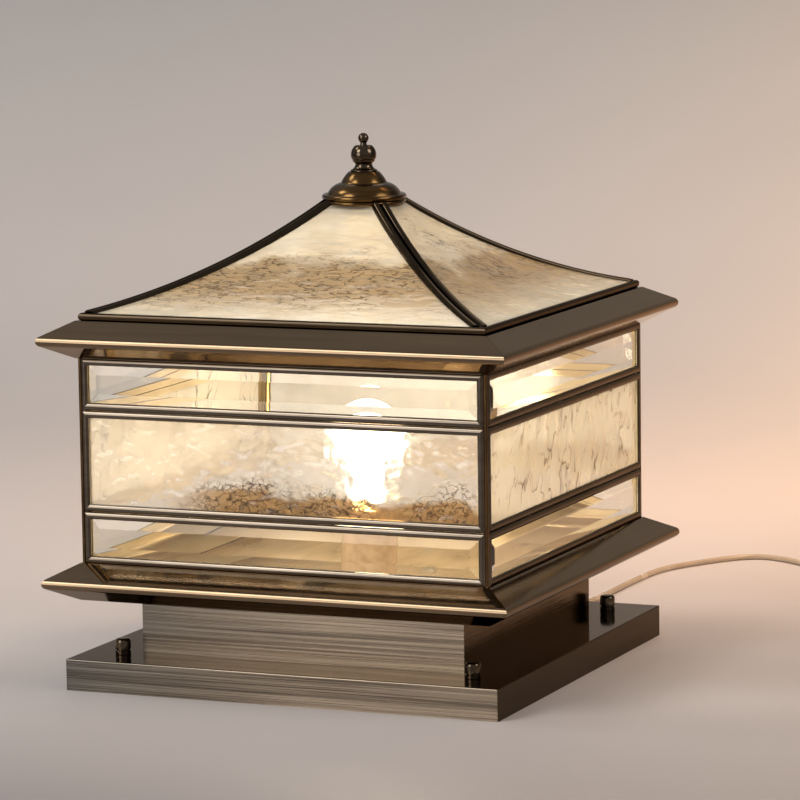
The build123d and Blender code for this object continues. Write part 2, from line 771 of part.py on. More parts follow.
# Bell-shaped cap, spun from sheet
bead_level = cap_bottom + cap_ring_height
dome_level = bead_level + cap_bead_height
bell_level = dome_level + cap_dome_height
cap_bore = finial_stud_diameter / 2 + hole_gap
with BuildPart() as roof_cap:
    with BuildSketch(Plane.XZ):
        with BuildLine():
            Line((cap_bore, cap_bottom), (cap_ring_radius, cap_bottom))
            ThreePointArc(
                (cap_ring_radius, cap_bottom),
                (cap_ring_radius + cap_ring_height / 5, cap_bottom + cap_ring_height / 2),
                (cap_ring_radius - cap_wall / 2, bead_level),
            )
            ThreePointArc(
                (cap_ring_radius - cap_wall / 2, bead_level),
                (cap_bead_radius, bead_level + cap_bead_height / 2),
                (cap_dome_radius, dome_level),
            )
            ThreePointArc(
                (cap_dome_radius, dome_level),
                (
                    cap_step_radius + 0.74 * (cap_dome_radius - cap_step_radius),
                    dome_level + 0.5 * cap_dome_height,
                ),
                (cap_step_radius, bell_level),
            )
            ThreePointArc(
                (cap_step_radius, bell_level),
                (
                    cap_top_radius + 0.58 * (cap_step_radius - cap_top_radius),
                    bell_level + 0.52 * cap_bell_height,
                ),
                (cap_top_radius, cap_top),
            )
            Polyline((cap_top_radius, cap_top), (cap_bore, cap_top), (cap_bore, cap_bottom))
        make_face()
    revolve(axis=Axis.Z)
    with BuildSketch(Plane.XY.offset(cap_bottom)):
        Circle(cap_dome_radius - 2 * cap_wall)
    extrude(amount=cap_ring_height + cap_bead_height - cap_wall, mode=Mode.SUBTRACT)
    with BuildSketch(Plane.XY.offset(cap_bottom)):
        Circle(cap_step_radius - cap_wall)
    extrude(amount=bell_level - cap_bottom - cap_wall, mode=Mode.SUBTRACT)
save(roof_cap, "roof_cap")

# Stud that ties the cap and finial to the collar, with its nut under the collar's plate
stud_bottom = cap_bottom - collar_plate - finial_nut_height - sheet
stud_top = cap_top + finial_bore_depth - curved_gap
with BuildPart() as finial_stud:
    with BuildSketch(Plane.XY.offset(stud_bottom)):
        Circle(finial_stud_diameter / 2)
    extrude(amount=stud_top - stud_bottom)
    chamfer(finial_stud.edges().filter_by(GeomType.CIRCLE), length=finial_stud_diameter / 10)
save(finial_stud, "finial_stud")

with BuildPart() as finial_nut:
    nut_level = cap_bottom - collar_plate - finial_nut_height
    add(hex_prism(finial_nut_width, finial_nut_height).moved(Location((0, 0, nut_level))))
    with BuildSketch(Plane.XY.offset(nut_level)):
        Circle(finial_stud_diameter / 2 + thread_gap)
    extrude(amount=finial_nut_height, mode=Mode.SUBTRACT)
save(finial_nut, "finial_nut")

# Finial: foot, waist, urn with a hollow lip, and a ball on a neck
ball_level = cap_top + finial_height - finial_ball_radius
waist_level = cap_top + 0.19 * finial_height
urn_level = cap_top + 0.435 * finial_height
lip_level = cap_top + 0.672 * finial_height
foot_edge = finial_foot_radius - finial_foot_height / 4
neck_level = ball_level - math.sqrt(finial_ball_radius**2 - finial_neck_radius**2)
finial_bore = finial_stud_diameter / 2 + thread_gap
with BuildPart() as finial:
    with BuildSketch(Plane.XZ):
        with BuildLine():
            Polyline(
                (0, cap_top + finial_bore_depth),
                (finial_bore, cap_top + finial_bore_depth),
                (finial_bore, cap_top),
                (finial_foot_radius, cap_top),
            )
            ThreePointArc(
                (finial_foot_radius, cap_top),
                (finial_foot_radius + finial_foot_height / 4, cap_top + finial_foot_height / 2),
                (foot_edge, cap_top + finial_foot_height),
            )
            ThreePointArc(
                (foot_edge, cap_top + finial_foot_height),
                (
                    finial_waist_radius + 0.3 * (foot_edge - finial_waist_radius),
                    cap_top + finial_foot_height + 0.4 * (waist_level - cap_top - finial_foot_height),
                ),
                (finial_waist_radius, waist_level),
            )
            ThreePointArc(
                (finial_waist_radius, waist_level),
                (finial_urn_radius, urn_level),
                (finial_lip_radius, lip_level),
            )
            Polyline(
                (finial_lip_radius, lip_level),
                (finial_lip_radius - curved_gap, lip_level),
                (finial_neck_radius + curved_gap, lip_level - 2 * sheet),
                (finial_neck_radius, neck_level),
            )
            ThreePointArc(
                (finial_neck_radius, neck_level),
                (finial_ball_radius, ball_level),
                (0, cap_top + finial_height),
            )
            Line((0, cap_top + finial_height), (0, cap_top + finial_bore_depth))
        make_face()
    revolve(axis=Axis.Z)
save(finial, "finial")

# Strap across the roof spigot, with two hanging pins and their nuts
strap_reach = spigot_outer - sheet - mitre_seam
with BuildPart() as roof_strap:
    with BuildSketch(Plane.XY.offset(strap_bottom)):
        Rectangle(2 * strap_reach, strap_width)
        with Locations(*pin_places):
            Circle(pin_tenon_diameter / 2 + thread_gap, mode=Mode.SUBTRACT)
    extrude(amount=strap_thickness)
save(roof_strap, "roof_strap")

with BuildPart() as roof_pins:
    with Locations(*pin_places):
        with Locations((0, 0, strap_bottom)):
            Cylinder(
                pin_diameter / 2, pin_length, align=(Align.CENTER, Align.CENTER, Align.MAX)
            )
            Cylinder(
                pin_tenon_diameter / 2,
                strap_thickness + pin_nut_height + sheet,
                align=(Align.CENTER, Align.CENTER, Align.MIN),
            )
    pin_tips = roof_pins.edges().filter_by(GeomType.CIRCLE).group_by(Axis.Z)[0]
    chamfer(pin_tips, length=pin_point)
save(roof_pins, "roof_pins")

with BuildPart() as pin_nuts:
    strap_top = strap_bottom + strap_thickness
    with Locations(*pin_places):
        add(hex_prism(pin_nut_width, pin_nut_height).moved(Location((0, 0, strap_top))))
    with BuildSketch(Plane.XY.offset(strap_top)):
        with Locations(*pin_places):
            Circle(pin_tenon_diameter / 2 + thread_gap)
    extrude(amount=pin_nut_height, mode=Mode.SUBTRACT)
save(pin_nuts, "pin_nuts")

# Lampholder: porcelain body, threaded shell, and the hollow nipple and nut that hold it down
shell_bore = bulb_cap_diameter / 2 + curved_gap
shell_outer = shell_bore + shell_wall
socket_bottom = holder_top - holder_socket_depth
foot_top = floor_top + holder_foot_height
with BuildPart() as lampholder_body:
    with BuildSketch(Plane.XZ):
        with BuildLine():
            Polyline(
                (nipple_diameter / 2 + thread_gap, floor_top),
                (holder_diameter / 2, floor_top),
                (holder_diameter / 2, foot_top),
                (holder_diameter / 2 - holder_groove, foot_top + holder_groove),
                (holder_diameter / 2 - holder_groove, foot_top + 2 * holder_groove),
                (holder_diameter / 2, foot_top + 3 * holder_groove),
                (holder_top_diameter / 2, holder_top),
                (shell_outer + thread_gap, holder_top),
                (shell_outer + thread_gap, socket_bottom),
                (nipple_diameter / 2 + thread_gap, socket_bottom),
                close=True,
            )
        make_face()
    revolve(axis=Axis.Z)
    fillet(
        lampholder_body.edges().filter_by(GeomType.CIRCLE).group_by(Axis.Z)[-1].sort_by(SortBy.RADIUS)[-1],
        radius=sheet,
    )
save(lampholder_body, "lampholder_body")

with BuildPart() as lampholder_shell:
    with BuildSketch(Plane.XY.offset(socket_bottom)):
        Circle(shell_outer)
    extrude(amount=holder_socket_depth)
    with BuildSketch(Plane.XY.offset(socket_bottom + shell_wall)):
        Circle(shell_bore)
    extrude(amount=holder_socket_depth, mode=Mode.SUBTRACT)
save(lampholder_shell, "lampholder_shell")

nipple_bottom = floor_level - nipple_below
with BuildPart() as holder_nipple:
    with BuildSketch(Plane.XY.offset(nipple_bottom)):
        Circle(nipple_diameter / 2)
        Circle(nipple_bore / 2, mode=Mode.SUBTRACT)
    extrude(amount=nipple_below + sheet + nipple_above)
save(holder_nipple, "holder_nipple")

with BuildPart() as nipple_nut:
    nipple_nut_level = floor_level - nipple_nut_height
    add(hex_prism(nipple_nut_width, nipple_nut_height).moved(Location((0, 0, nipple_nut_level))))
    with BuildSketch(Plane.XY.offset(nipple_nut_level)):
        Circle(nipple_diameter / 2 + thread_gap)
    extrude(amount=nipple_nut_height, mode=Mode.SUBTRACT)
save(nipple_nut, "nipple_nut")

# Bulb: glass envelope on a threaded cap that ends in a contact
contact_bottom = socket_bottom + shell_wall + curved_gap
bulb_cap_bottom = contact_bottom + bulb_contact_height
bulb_cap_top = bulb_cap_bottom + bulb_cap_length
bulb_radius = bulb_diameter / 2
bulb_level = bulb_top - bulb_radius
cone_turn = math.radians(bulb_cone_angle)
cone_start = (bulb_radius * math.cos(cone_turn), bulb_level - bulb_radius * math.sin(cone_turn))
cone_drop = (cone_start[0] - bulb_neck_diameter / 2) / math.tan(cone_turn)
cone_end = (bulb_neck_diameter / 2, cone_start[1] - cone_drop)
thread_pitch = bulb_cap_length / (bulb_thread_count + 1)

with BuildPart() as bulb_envelope:
    with BuildSketch(Plane.XZ):
        with BuildLine():
            ThreePointArc((0, bulb_top), (bulb_radius, bulb_level), cone_start)
            FilletPolyline(
                cone_start,
                cone_end,
                (bulb_neck_diameter / 2, bulb_cap_top),
                radius=bulb_neck_rounding,
            )
            offset(amount=bulb_wall, side=Side.RIGHT)
        make_face()
    revolve(axis=Axis.Z)
save(bulb_envelope, "bulb_envelope")

with BuildPart() as bulb_cap:
    with BuildSketch(Plane.XY.offset(bulb_cap_bottom)):
        Circle(bulb_cap_diameter / 2)
    extrude(amount=bulb_cap_length)
    for turn in range(bulb_thread_count):
        with BuildSketch(Plane.XY.offset(bulb_cap_bottom + (turn + 0.75) * thread_pitch)):
            Circle(bulb_cap_diameter / 2)
            Circle(bulb_cap_diameter / 2 - bulb_thread_depth, mode=Mode.SUBTRACT)
        extrude(amount=thread_pitch / 2, mode=Mode.SUBTRACT)
    with BuildSketch(Plane.XY.offset(bulb_cap_bottom)):
        Circle(bulb_contact_diameter / 2)
    extrude(amount=-bulb_contact_height)
save(bulb_cap, "bulb_cap")

# Terminal block on the tray inside the neck, and the two leads up into the lampholder
with BuildPart() as terminal_block:
    with BuildSketch(Plane.XY.offset(tray_height)):
        with Locations((-terminal_reach, 0)):
            RectangleRounded(terminal_length, terminal_width, sheet)
    extrude(amount=terminal_height)
    with BuildSketch(Plane.XY.offset(block_top)):
        with Locations((-terminal_reach - terminal_length / 4, 0)):
            with GridLocations(0, terminal_width / 2, 1, 2):
                Circle(lead_diameter)
    extrude(amount=-terminal_height / 3, mode=Mode.SUBTRACT)
save(terminal_block, "terminal_block")

lead_end = floor_level + sheet
# Bends of a lead: share of the block's distance from the axis, and of the height up to the holder
lead_bends = [
    (1.0, 0.22),
    (0.926, 0.41),
    (0.75, 0.44),
    (0.53, 0.375),
    (0.306, 0.25),
    (0.139, 0.19),
    (0.032, 0.31),
    (0.0, 0.56),
]
with BuildPart() as lead_wires:
    for lead_side in (1, -1):
        lead_route = [(-terminal_reach, lead_side * lead_spacing, block_top)]
        for reach_share, rise_share in lead_bends:
            spread = lead_spacing if reach_share > 0.7 else lead_spacing / 2
            lead_level = block_top + rise_share * (lead_end - block_top)
            lead_route.append((-reach_share * terminal_reach, lead_side * spread, lead_level))
        lead_route.append((0.0, lead_side * lead_spacing / 2, lead_end))
        with BuildLine() as lead_line:
            FilletPolyline(*lead_route, radius=tube_radii(lead_route))
        with BuildSketch(Plane(origin=lead_line.line @ 0, z_dir=lead_line.line % 0)):
            Circle(lead_diameter / 2)
        sweep(path=lead_line.line)
save(lead_wires, "lead_wires")

# Moulded gland in the tray's back wall, tapering along the cord
gland_line = Plane((cord_exit_x, tray_half, cord_exit_height), x_dir=(1, 0, 0), z_dir=(0, 1, 0))
with BuildPart() as cord_gland:
    with BuildSketch(gland_line):
        Circle(gland_root_radius)
    with BuildSketch(gland_line.offset(gland_length)):
        Circle(gland_tip_radius)
    loft(ruled=True)
    with BuildSketch(gland_line.offset(-sheet)):
        Circle(gland_root_radius)
    extrude(amount=sheet)
    with BuildSketch(gland_line.offset(-sheet)):
        Circle(gland_flange_radius)
    extrude(amount=-gland_flange_thickness)
    with BuildSketch(gland_line):
        Circle(gland_flange_radius)
    extrude(amount=gland_flange_thickness)
save(cord_gland, "cord_gland")

# Cord inside the base, from the gland through the wiring hole to the block
# Bends: share of the exit's or the block's distance in X, of half the tray in Y, and of the climb
inner_bends = [
    (1.0, 0.847, 0.0),
    (0.90, 0.654, 0.02),
    (0.64, 0.472, 0.13),
    (0.28, 0.322, 0.47),
]
inner_bends_up = [(0.13, 0.193, 0.85), (0.50, 0.075, 1.04), (0.79, 0.0, 1.0), (1.0, 0.0, 1.0)]
inner_climb = block_level - cord_exit_height
inner_route = [(cord_exit_x, tray_half - sheet - gland_flange_thickness, cord_exit_height)]
for bends, reach in ((inner_bends, cord_exit_x), (inner_bends_up, block_face)):
    for x_share, y_share, climb_share in bends:
        inner_level = cord_exit_height + climb_share * inner_climb
        inner_route.append((x_share * reach, y_share * tray_half, inner_level))
with BuildPart() as inner_cord:
    with BuildLine() as inner_line:
        FilletPolyline(*inner_route, radius=tube_radii(inner_route))
    with BuildSketch(Plane(origin=inner_line.line @ 0, z_dir=inner_line.line % 0)):
        Circle(cord_radius)
    sweep(path=inner_line.line)
save(inner_cord, "inner_cord")
report_tube("inner cord", inner_cord, inner_line.wires()[0].length, cord_diameter)

# Cord from the gland down to the floor and along it to the coil
with BuildPart() as cord:
    with BuildLine() as cord_line:
        FilletPolyline(*cord_route, radius=tube_radii(cord_route))
    with BuildSketch(Plane(origin=cord_line.line @ 0, z_dir=cord_line.line % 0)):
        Circle(cord_radius)
    sweep(path=cord_line.line)
cord_length = cord_line.wires()[0].length
save(cord, "cord")
report_tube("cord", cord, cord_length, cord_diameter)
print("cord bend radii:", [round(radius, 1) for radius in tube_radii(cord_route)])

# Put-away coil: half turns that spiral in, climb a layer, and spiral out again on top
coil_start = Vector(*cord_route[-1])
coil_x = coil_start.X + cord_diameter
coil_rise = coil_pitch
inward_steps = [0, 1, 2, 3, 4]
outward_steps = [4, 2, 1, 0]
half_turns = []
turn_point = Vector(coil_x, coil_start.Y, coil_start.Z)
heading = 1
for step in inward_steps + [len(inward_steps)] + outward_steps:
    turn_radius = coil_outer_radius - step * coil_pitch / 2
    climb = coil_rise if step == len(inward_steps) else 0.0
    next_point = turn_point + Vector(0, heading * 2 * turn_radius, climb)
    half_turns.append((turn_point, next_point, heading))
    turn_point = next_point
    heading = -heading
lead_out = turn_point + Vector(coil_lead_radius, -coil_lead_radius, 0)
coil_end = lead_out - Vector(0, cord_diameter, 0)

with BuildPart() as cord_coil:
    with BuildLine() as coil_line:
        Line(coil_start, half_turns[0][0])
        for begin, end, way in half_turns:
            span = end - begin
            joint = (begin + end) * 0.5 + Vector(way, 0, 0) * (span.length / 2)
            TangentArc(begin, joint, tangent=(way, 0, 0))
            TangentArc(joint, end, tangent=span.normalized())
        TangentArc(turn_point, lead_out, tangent=(1, 0, 0))
        Line(lead_out, coil_end)
    with BuildSketch(Plane(origin=coil_start, z_dir=(1, 0, 0))):
        Circle(cord_radius)
    sweep(path=coil_line.line)
save(cord_coil, "cord_coil")
coil_length = coil_line.wires()[0].length
report_tube("coil", cord_coil, coil_length, cord_diameter)


def least_self_gap(line, diameter, count=900):
    """Least clear gap between stretches of a tube more than three diameters apart along it."""
    places = [line @ (i / count) for i in range(count + 1)]
    skip = math.ceil(3 * diameter * count / line.length)
    pairs = ((a, b) for i, a in enumerate(places) for b in places[i + skip :])
    return min((a - b).length for a, b in pairs) - diameter


print(f"coil least gap to itself: {least_self_gap(coil_line.wires()[0], cord_diameter):.2f} mm")
print(f"free cord from gland to plug: {cord_length + coil_length:.0f} mm")

# Tie round the coil's right-hand side
tie_inner_x = coil_outer_radius - 2 * coil_pitch - cord_radius - tie_gap
tie_outer_x = coil_outer_radius + cord_radius + tie_gap
tie_top = half_turns[-1][0].Z + cord_radius + tie_gap
tie_middle = coil_start.Y + coil_outer_radius + coil_pitch / 2
with BuildPart() as coil_tie:
    tie_width_x = tie_outer_x - tie_inner_x
    tie_place = (coil_x + (tie_inner_x + tie_outer_x) / 2, (tie_thickness + tie_top) / 2)
    with BuildSketch(Plane.XZ.offset(-tie_middle)):
        with Locations(tie_place):
            RectangleRounded(
                tie_width_x + 2 * tie_thickness, tie_top + tie_thickness, 2 * tie_thickness
            )
            RectangleRounded(
                tie_width_x, tie_top - tie_thickness, tie_thickness, mode=Mode.SUBTRACT
            )
    extrude(amount=tie_width / 2, both=True)
save(coil_tie, "coil_tie")

# Plug beside the coil, lying on the floor
plug_half_height = coil_end.Z
plug_line = Plane(origin=coil_end, x_dir=(1, 0, 0), z_dir=(0, -1, 0))
with BuildPart() as plug_body:
    with BuildSketch(plug_line):
        Circle(gland_tip_radius)
    with BuildSketch(plug_line.offset(plug_relief_length)):
        Circle(gland_root_radius)
    loft(ruled=True)
    with BuildSketch(plug_line.offset(plug_relief_length)):
        RectangleRounded(plug_width, 2 * plug_half_height, plug_rounding)
    extrude(amount=plug_length)
save(plug_body, "plug_body")

with BuildPart() as plug_pins:
    with BuildSketch(plug_line.offset(plug_relief_length + plug_length)):
        with GridLocations(plug_pin_spacing, 0, 2, 1):
            Circle(plug_pin_diameter / 2)
    extrude(amount=plug_pin_length)
    pin_ends = plug_pins.edges().filter_by(GeomType.CIRCLE).group_by(Axis.Y)[0]
    fillet(pin_ends, radius=plug_pin_diameter / 4)
save(plug_pins, "plug_pins")
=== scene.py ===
"""Looks of a corded pillar lantern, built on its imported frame. Metres, +Z up, front towards -Y."""

import logging
import math
from dataclasses import dataclass, replace
from enum import Enum
from typing import Iterable, Sequence

import bpy
from mathutils import Matrix, Vector, noise


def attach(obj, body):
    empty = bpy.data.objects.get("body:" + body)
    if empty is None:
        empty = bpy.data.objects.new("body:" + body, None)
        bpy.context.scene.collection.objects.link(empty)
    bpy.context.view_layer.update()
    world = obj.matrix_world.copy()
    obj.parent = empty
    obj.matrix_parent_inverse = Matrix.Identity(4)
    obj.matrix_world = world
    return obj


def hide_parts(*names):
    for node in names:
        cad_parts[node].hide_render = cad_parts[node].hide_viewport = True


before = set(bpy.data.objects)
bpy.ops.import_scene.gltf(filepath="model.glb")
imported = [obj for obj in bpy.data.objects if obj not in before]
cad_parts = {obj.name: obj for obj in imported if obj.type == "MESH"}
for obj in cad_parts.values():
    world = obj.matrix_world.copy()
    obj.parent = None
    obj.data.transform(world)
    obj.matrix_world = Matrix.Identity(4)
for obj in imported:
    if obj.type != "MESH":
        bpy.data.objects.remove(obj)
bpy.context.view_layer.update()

log = logging.getLogger("pillar_lantern")
MM = 0.001
SEAT_GAP = 0.05
DIAGONAL = math.sqrt(2)
RIPPLE_WEIGHTS = (0.62, 0.42, 0.16)
DROP_WEIGHTS = (0.45, 0.7, 0.12)
DROP_SHIFT = 0.4
SEED_SHIFT = (1.0, -0.7, 0.37)

Colour = tuple[float, float, float]
Point = tuple[float, float, float]
Flat = tuple[float, float]
Span = tuple[float, float]
Profile = list[Flat]
Socket = bpy.types.NodeSocket


class Body(Enum):
    """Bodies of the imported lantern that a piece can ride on."""

    BODY = "body"
    ROOF = "roof"
    FINIAL = "finial"
    BULB = "bulb"


class Side(Enum):
    """Sides of the lantern, with the quarter turn from the right-hand side."""

    RIGHT = 0
    BACK = 1
    LEFT = 2
    FRONT = 3

    @property
    def label(self) -> str:
        """Word that starts the names of this side's pieces."""
        return self.name.lower()

    @property
    def turn(self) -> Matrix:
        """Rotation from the right-hand side to this one."""
        return Matrix.Rotation(math.radians(90 * self.value), 4, "Z")


class Shader:
    """Node graph of one procedural material, with a principled surface at its end."""

    noise_reach: Span = (0.25, 0.75)
    facing_front: Span = (0.95, 0.70)
    facing_in: float = -0.02

    def __init__(self, name: str) -> None:
        """Start an empty graph.

        Args:
            name: name of the material.
        """
        self.material = bpy.data.materials.new(name)
        self.material.use_nodes = True
        self.tree = self.material.node_tree
        self.tree.nodes.clear()
        self.surface = self.add("ShaderNodeBsdfPrincipled")
        self.output = self.add("ShaderNodeOutputMaterial")
        self.link(self.surface.outputs[0], self.output.inputs[0])
        self.place = self.add("ShaderNodeTexCoord").outputs["Object"]

    def add(self, kind: str, **settings: object) -> bpy.types.Node:
        """Add a node.

        Args:
            kind: Blender's type name of the node.
            settings: properties to set on it.

        Returns:
            The new node.
        """
        node = self.tree.nodes.new(kind)
        for key, value in settings.items():
            setattr(node, key, value)
        return node

    def link(self, source: Socket, target: Socket) -> None:
        """Link an output to an input."""
        self.tree.links.new(source, target)

    def set(self, **values: object) -> None:
        """Set constant sockets of the surface; underscores in the names stand for spaces."""
        for key, value in values.items():
            self.surface.inputs[key.replace("_", " ")].default_value = value

    def feed(self, socket: str, source: Socket) -> None:
        """Link a value into one of the surface's sockets."""
        self.link(source, self.surface.inputs[socket])

    def noise(self, scale: Point, detail: float = 3.0, rough: float = 0.55, tilt: float = 0.0) -> Socket:
        """Fractal noise in object space.

        Args:
            scale: cells per metre along each axis.
            detail: octaves.
            rough: weight of the finer octaves.
            tilt: turn of the cells about the first axis, in degrees.

        Returns:
            Noise value from 0 to 1.
        """
        turned = self.add("ShaderNodeMapping")
        turned.inputs["Rotation"].default_value = (math.radians(tilt), 0.0, 0.0)
        self.link(self.place, turned.inputs["Vector"])
        cells = self.add("ShaderNodeTexNoise")
        for key, value in (("Scale", 1.0), ("Detail", detail), ("Roughness", rough)):
            cells.inputs[key].default_value = value
        self.link(self.stretch(turned.outputs[0], scale), cells.inputs["Vector"])
        return cells.outputs[0]

    def stretch(self, vector: Socket, scale: Point) -> Socket:
        """Multiply a vector axis by axis.

        Args:
            vector: the vector.
            scale: factor of each axis.

        Returns:
            The product.
        """
        product = self.add("ShaderNodeVectorMath", operation="MULTIPLY")
        self.link(vector, product.inputs[0])
        product.inputs[1].default_value = scale
        return product.outputs[0]

    def ramp(self, value: Socket, stops: Iterable[tuple[float, Colour]]) -> Socket:
        """Colours along a value.

        Args:
            value: driving value from 0 to 1.
            stops: place and colour of each stop.

        Returns:
            Colour socket.
        """
        ramp = self.add("ShaderNodeValToRGB")
        elements = ramp.color_ramp.elements
        marks = list(stops)
        while len(elements) < len(marks):
            elements.new(0.5)
        for element, (place, colour) in zip(elements, marks):
            element.position = place
            element.color = (*colour, 1.0)
        self.link(value, ramp.inputs[0])
        return ramp.outputs[0]

    def maths(
        self, operation: str, first: Socket, second: Socket | float = 0.0, clamp: bool = False
    ) -> Socket:
        """One step of arithmetic.

        Args:
            operation: Blender's name of the step.
            first: first value.
            second: second value, or a constant.
            clamp: whether the result is held between 0 and 1.

        Returns:
            The result.
        """
        step = self.add("ShaderNodeMath", operation=operation, use_clamp=clamp)
        self.link(first, step.inputs[0])
        if isinstance(second, float):
            step.inputs[1].default_value = second
        else:
            self.link(second, step.inputs[1])
        return step.outputs[0]

    def times(self, first: Socket, second: Socket) -> Socket:
        """Product of two values."""
        return self.maths("MULTIPLY", first, second)

    def remap(self, value: Socket, ends: Span, low: float = 0.0, high: float = 1.0) -> Socket:
        """Map one range of a value onto another, and hold it beyond the ends.

        Args:
            value: the value.
            ends: range that is mapped.
            low: result at its first end.
            high: result at its second end.

        Returns:
            The mapped value.
        """
        reach = self.add("ShaderNodeMapRange")
        for index, number in enumerate((*ends, low, high), start=1):
            reach.inputs[index].default_value = number
        self.link(value, reach.inputs[0])
        return reach.outputs[0]

    def spread(self, value: Socket, low: float, high: float) -> Socket:
        """A noise value mapped onto a range."""
        return self.remap(value, self.noise_reach, low, high)

    def between(self, value: Socket, low: float, high: float) -> Socket:
        """A 0 to 1 value mapped onto a range."""
        return self.remap(value, (0.0, 1.0), low, high)

    def mix(self, factor: Socket, first: Socket, second: Socket | Colour) -> Socket:
        """Mix two colours.

        Args:
            factor: share of the second colour.
            first: first colour.
            second: second colour, from the graph or constant.

        Returns:
            The mixed colour.
        """
        mixer = self.add("ShaderNodeMix", data_type="RGBA")
        self.link(factor, mixer.inputs[0])
        self.link(first, mixer.inputs[6])
        if isinstance(second, tuple):
            mixer.inputs[7].default_value = (*second, 1.0)
        else:
            self.link(second, mixer.inputs[7])
        return mixer.outputs[2]

    def blend(self, factor: Socket, first: Socket, second: Socket) -> Socket:
        """Mix two values.

        Args:
            factor: share of the second value.
            first: first value.
            second: second value.

        Returns:
            The mixed value.
        """
        mixer = self.add("ShaderNodeMix")
        for index, source in ((0, factor), (2, first), (3, second)):
            self.link(source, mixer.inputs[index])
        return mixer.outputs[0]

    def axis(self, vector: Socket, axis: str) -> Socket:
        """Take one axis of a vector.

        Args:
            vector: the vector.
            axis: X, Y or Z.

        Returns:
            Its length along that axis.
        """
        split = self.add("ShaderNodeSeparateXYZ")
        self.link(vector, split.inputs[0])
        return split.outputs[axis]

    def geometry(self, kind: str) -> Socket:
        """One of the surface's own values: Normal, True Normal or Backfacing."""
        return self.add("ShaderNodeNewGeometry").outputs[kind]

    def reach(self) -> Socket:
        """Half the side of the upright square column through a point, in metres."""
        across, deep = (self.maths("ABSOLUTE", self.axis(self.place, axis)) for axis in "XY")
        return self.maths("MAXIMUM", across, deep)

    def inward(self, limit: float) -> Socket:
        """One on faces inside a square column round the upright axis or turned towards it, else zero.

        Args:
            limit: half the column's side in metres.

        Returns:
            The value.
        """
        inside = self.maths("LESS_THAN", self.reach(), limit)
        facing = self.add("ShaderNodeVectorMath", operation="DOT_PRODUCT")
        self.link(self.stretch(self.place, (1.0, 1.0, 0.0)), facing.inputs[0])
        self.link(self.geometry("True Normal"), facing.inputs[1])
        turned = self.maths("LESS_THAN", facing.outputs["Value"], self.facing_in)
        return self.maths("MAXIMUM", inside, turned)

    def along(self, axis: str, low: float, high: float) -> Socket:
        """Zero up to a low place on an axis, in metres, and one from a high place on."""
        return self.remap(self.axis(self.place, axis), (low, high))

    def off_front(self) -> Socket:
        """One on faces that look up, down or sideways, zero on those that look to the front or back."""
        lean = self.maths("ABSOLUTE", self.axis(self.geometry("Normal"), "Y"))
        return self.remap(lean, self.facing_front)

    def one_sided(self) -> None:
        """Show the surface from its front alone, so that a view from behind looks through it."""
        pick = self.add("ShaderNodeMixShader")
        clear = self.add("ShaderNodeBsdfTransparent")
        sources = (self.geometry("Backfacing"), self.surface.outputs[0], clear.outputs[0])
        for source, target in zip(sources, pick.inputs):
            self.link(source, target)
        self.link(pick.outputs[0], self.output.inputs[0])

    def bump(self, height: Socket, strength: float, distance: float) -> None:
        """Bump the surface.

        Args:
            height: height value from 0 to 1.
            strength: strength of the bump.
            distance: full height in metres.
        """
        bump = self.add("ShaderNodeBump")
        bump.inputs["Strength"].default_value = strength
        bump.inputs["Distance"].default_value = distance
        self.link(height, bump.inputs["Height"])
        self.feed("Normal", bump.outputs[0])


@dataclass(frozen=True)
class PaintedInnerGlow:
    """Painted bulb light: a paler, less metallic colour on the faces of a piece that look into the lamp
    chamber.
    """

    limit: float
    deep: Colour = (0.46, 0.36, 0.205)
    pale: Colour = (0.68, 0.55, 0.345)
    metallic: float = 0.3


@dataclass(frozen=True)
class PolishedShadedSides:
    """Smooth polish on the faces that don't look to the front or back, with darker colours there that are
    painted shade, and a left-hand end darkened with painted shade.
    """

    deep: Colour
    pale: Colour
    gloss: Span
    left_shade: Colour
    left_shade_ends: Span


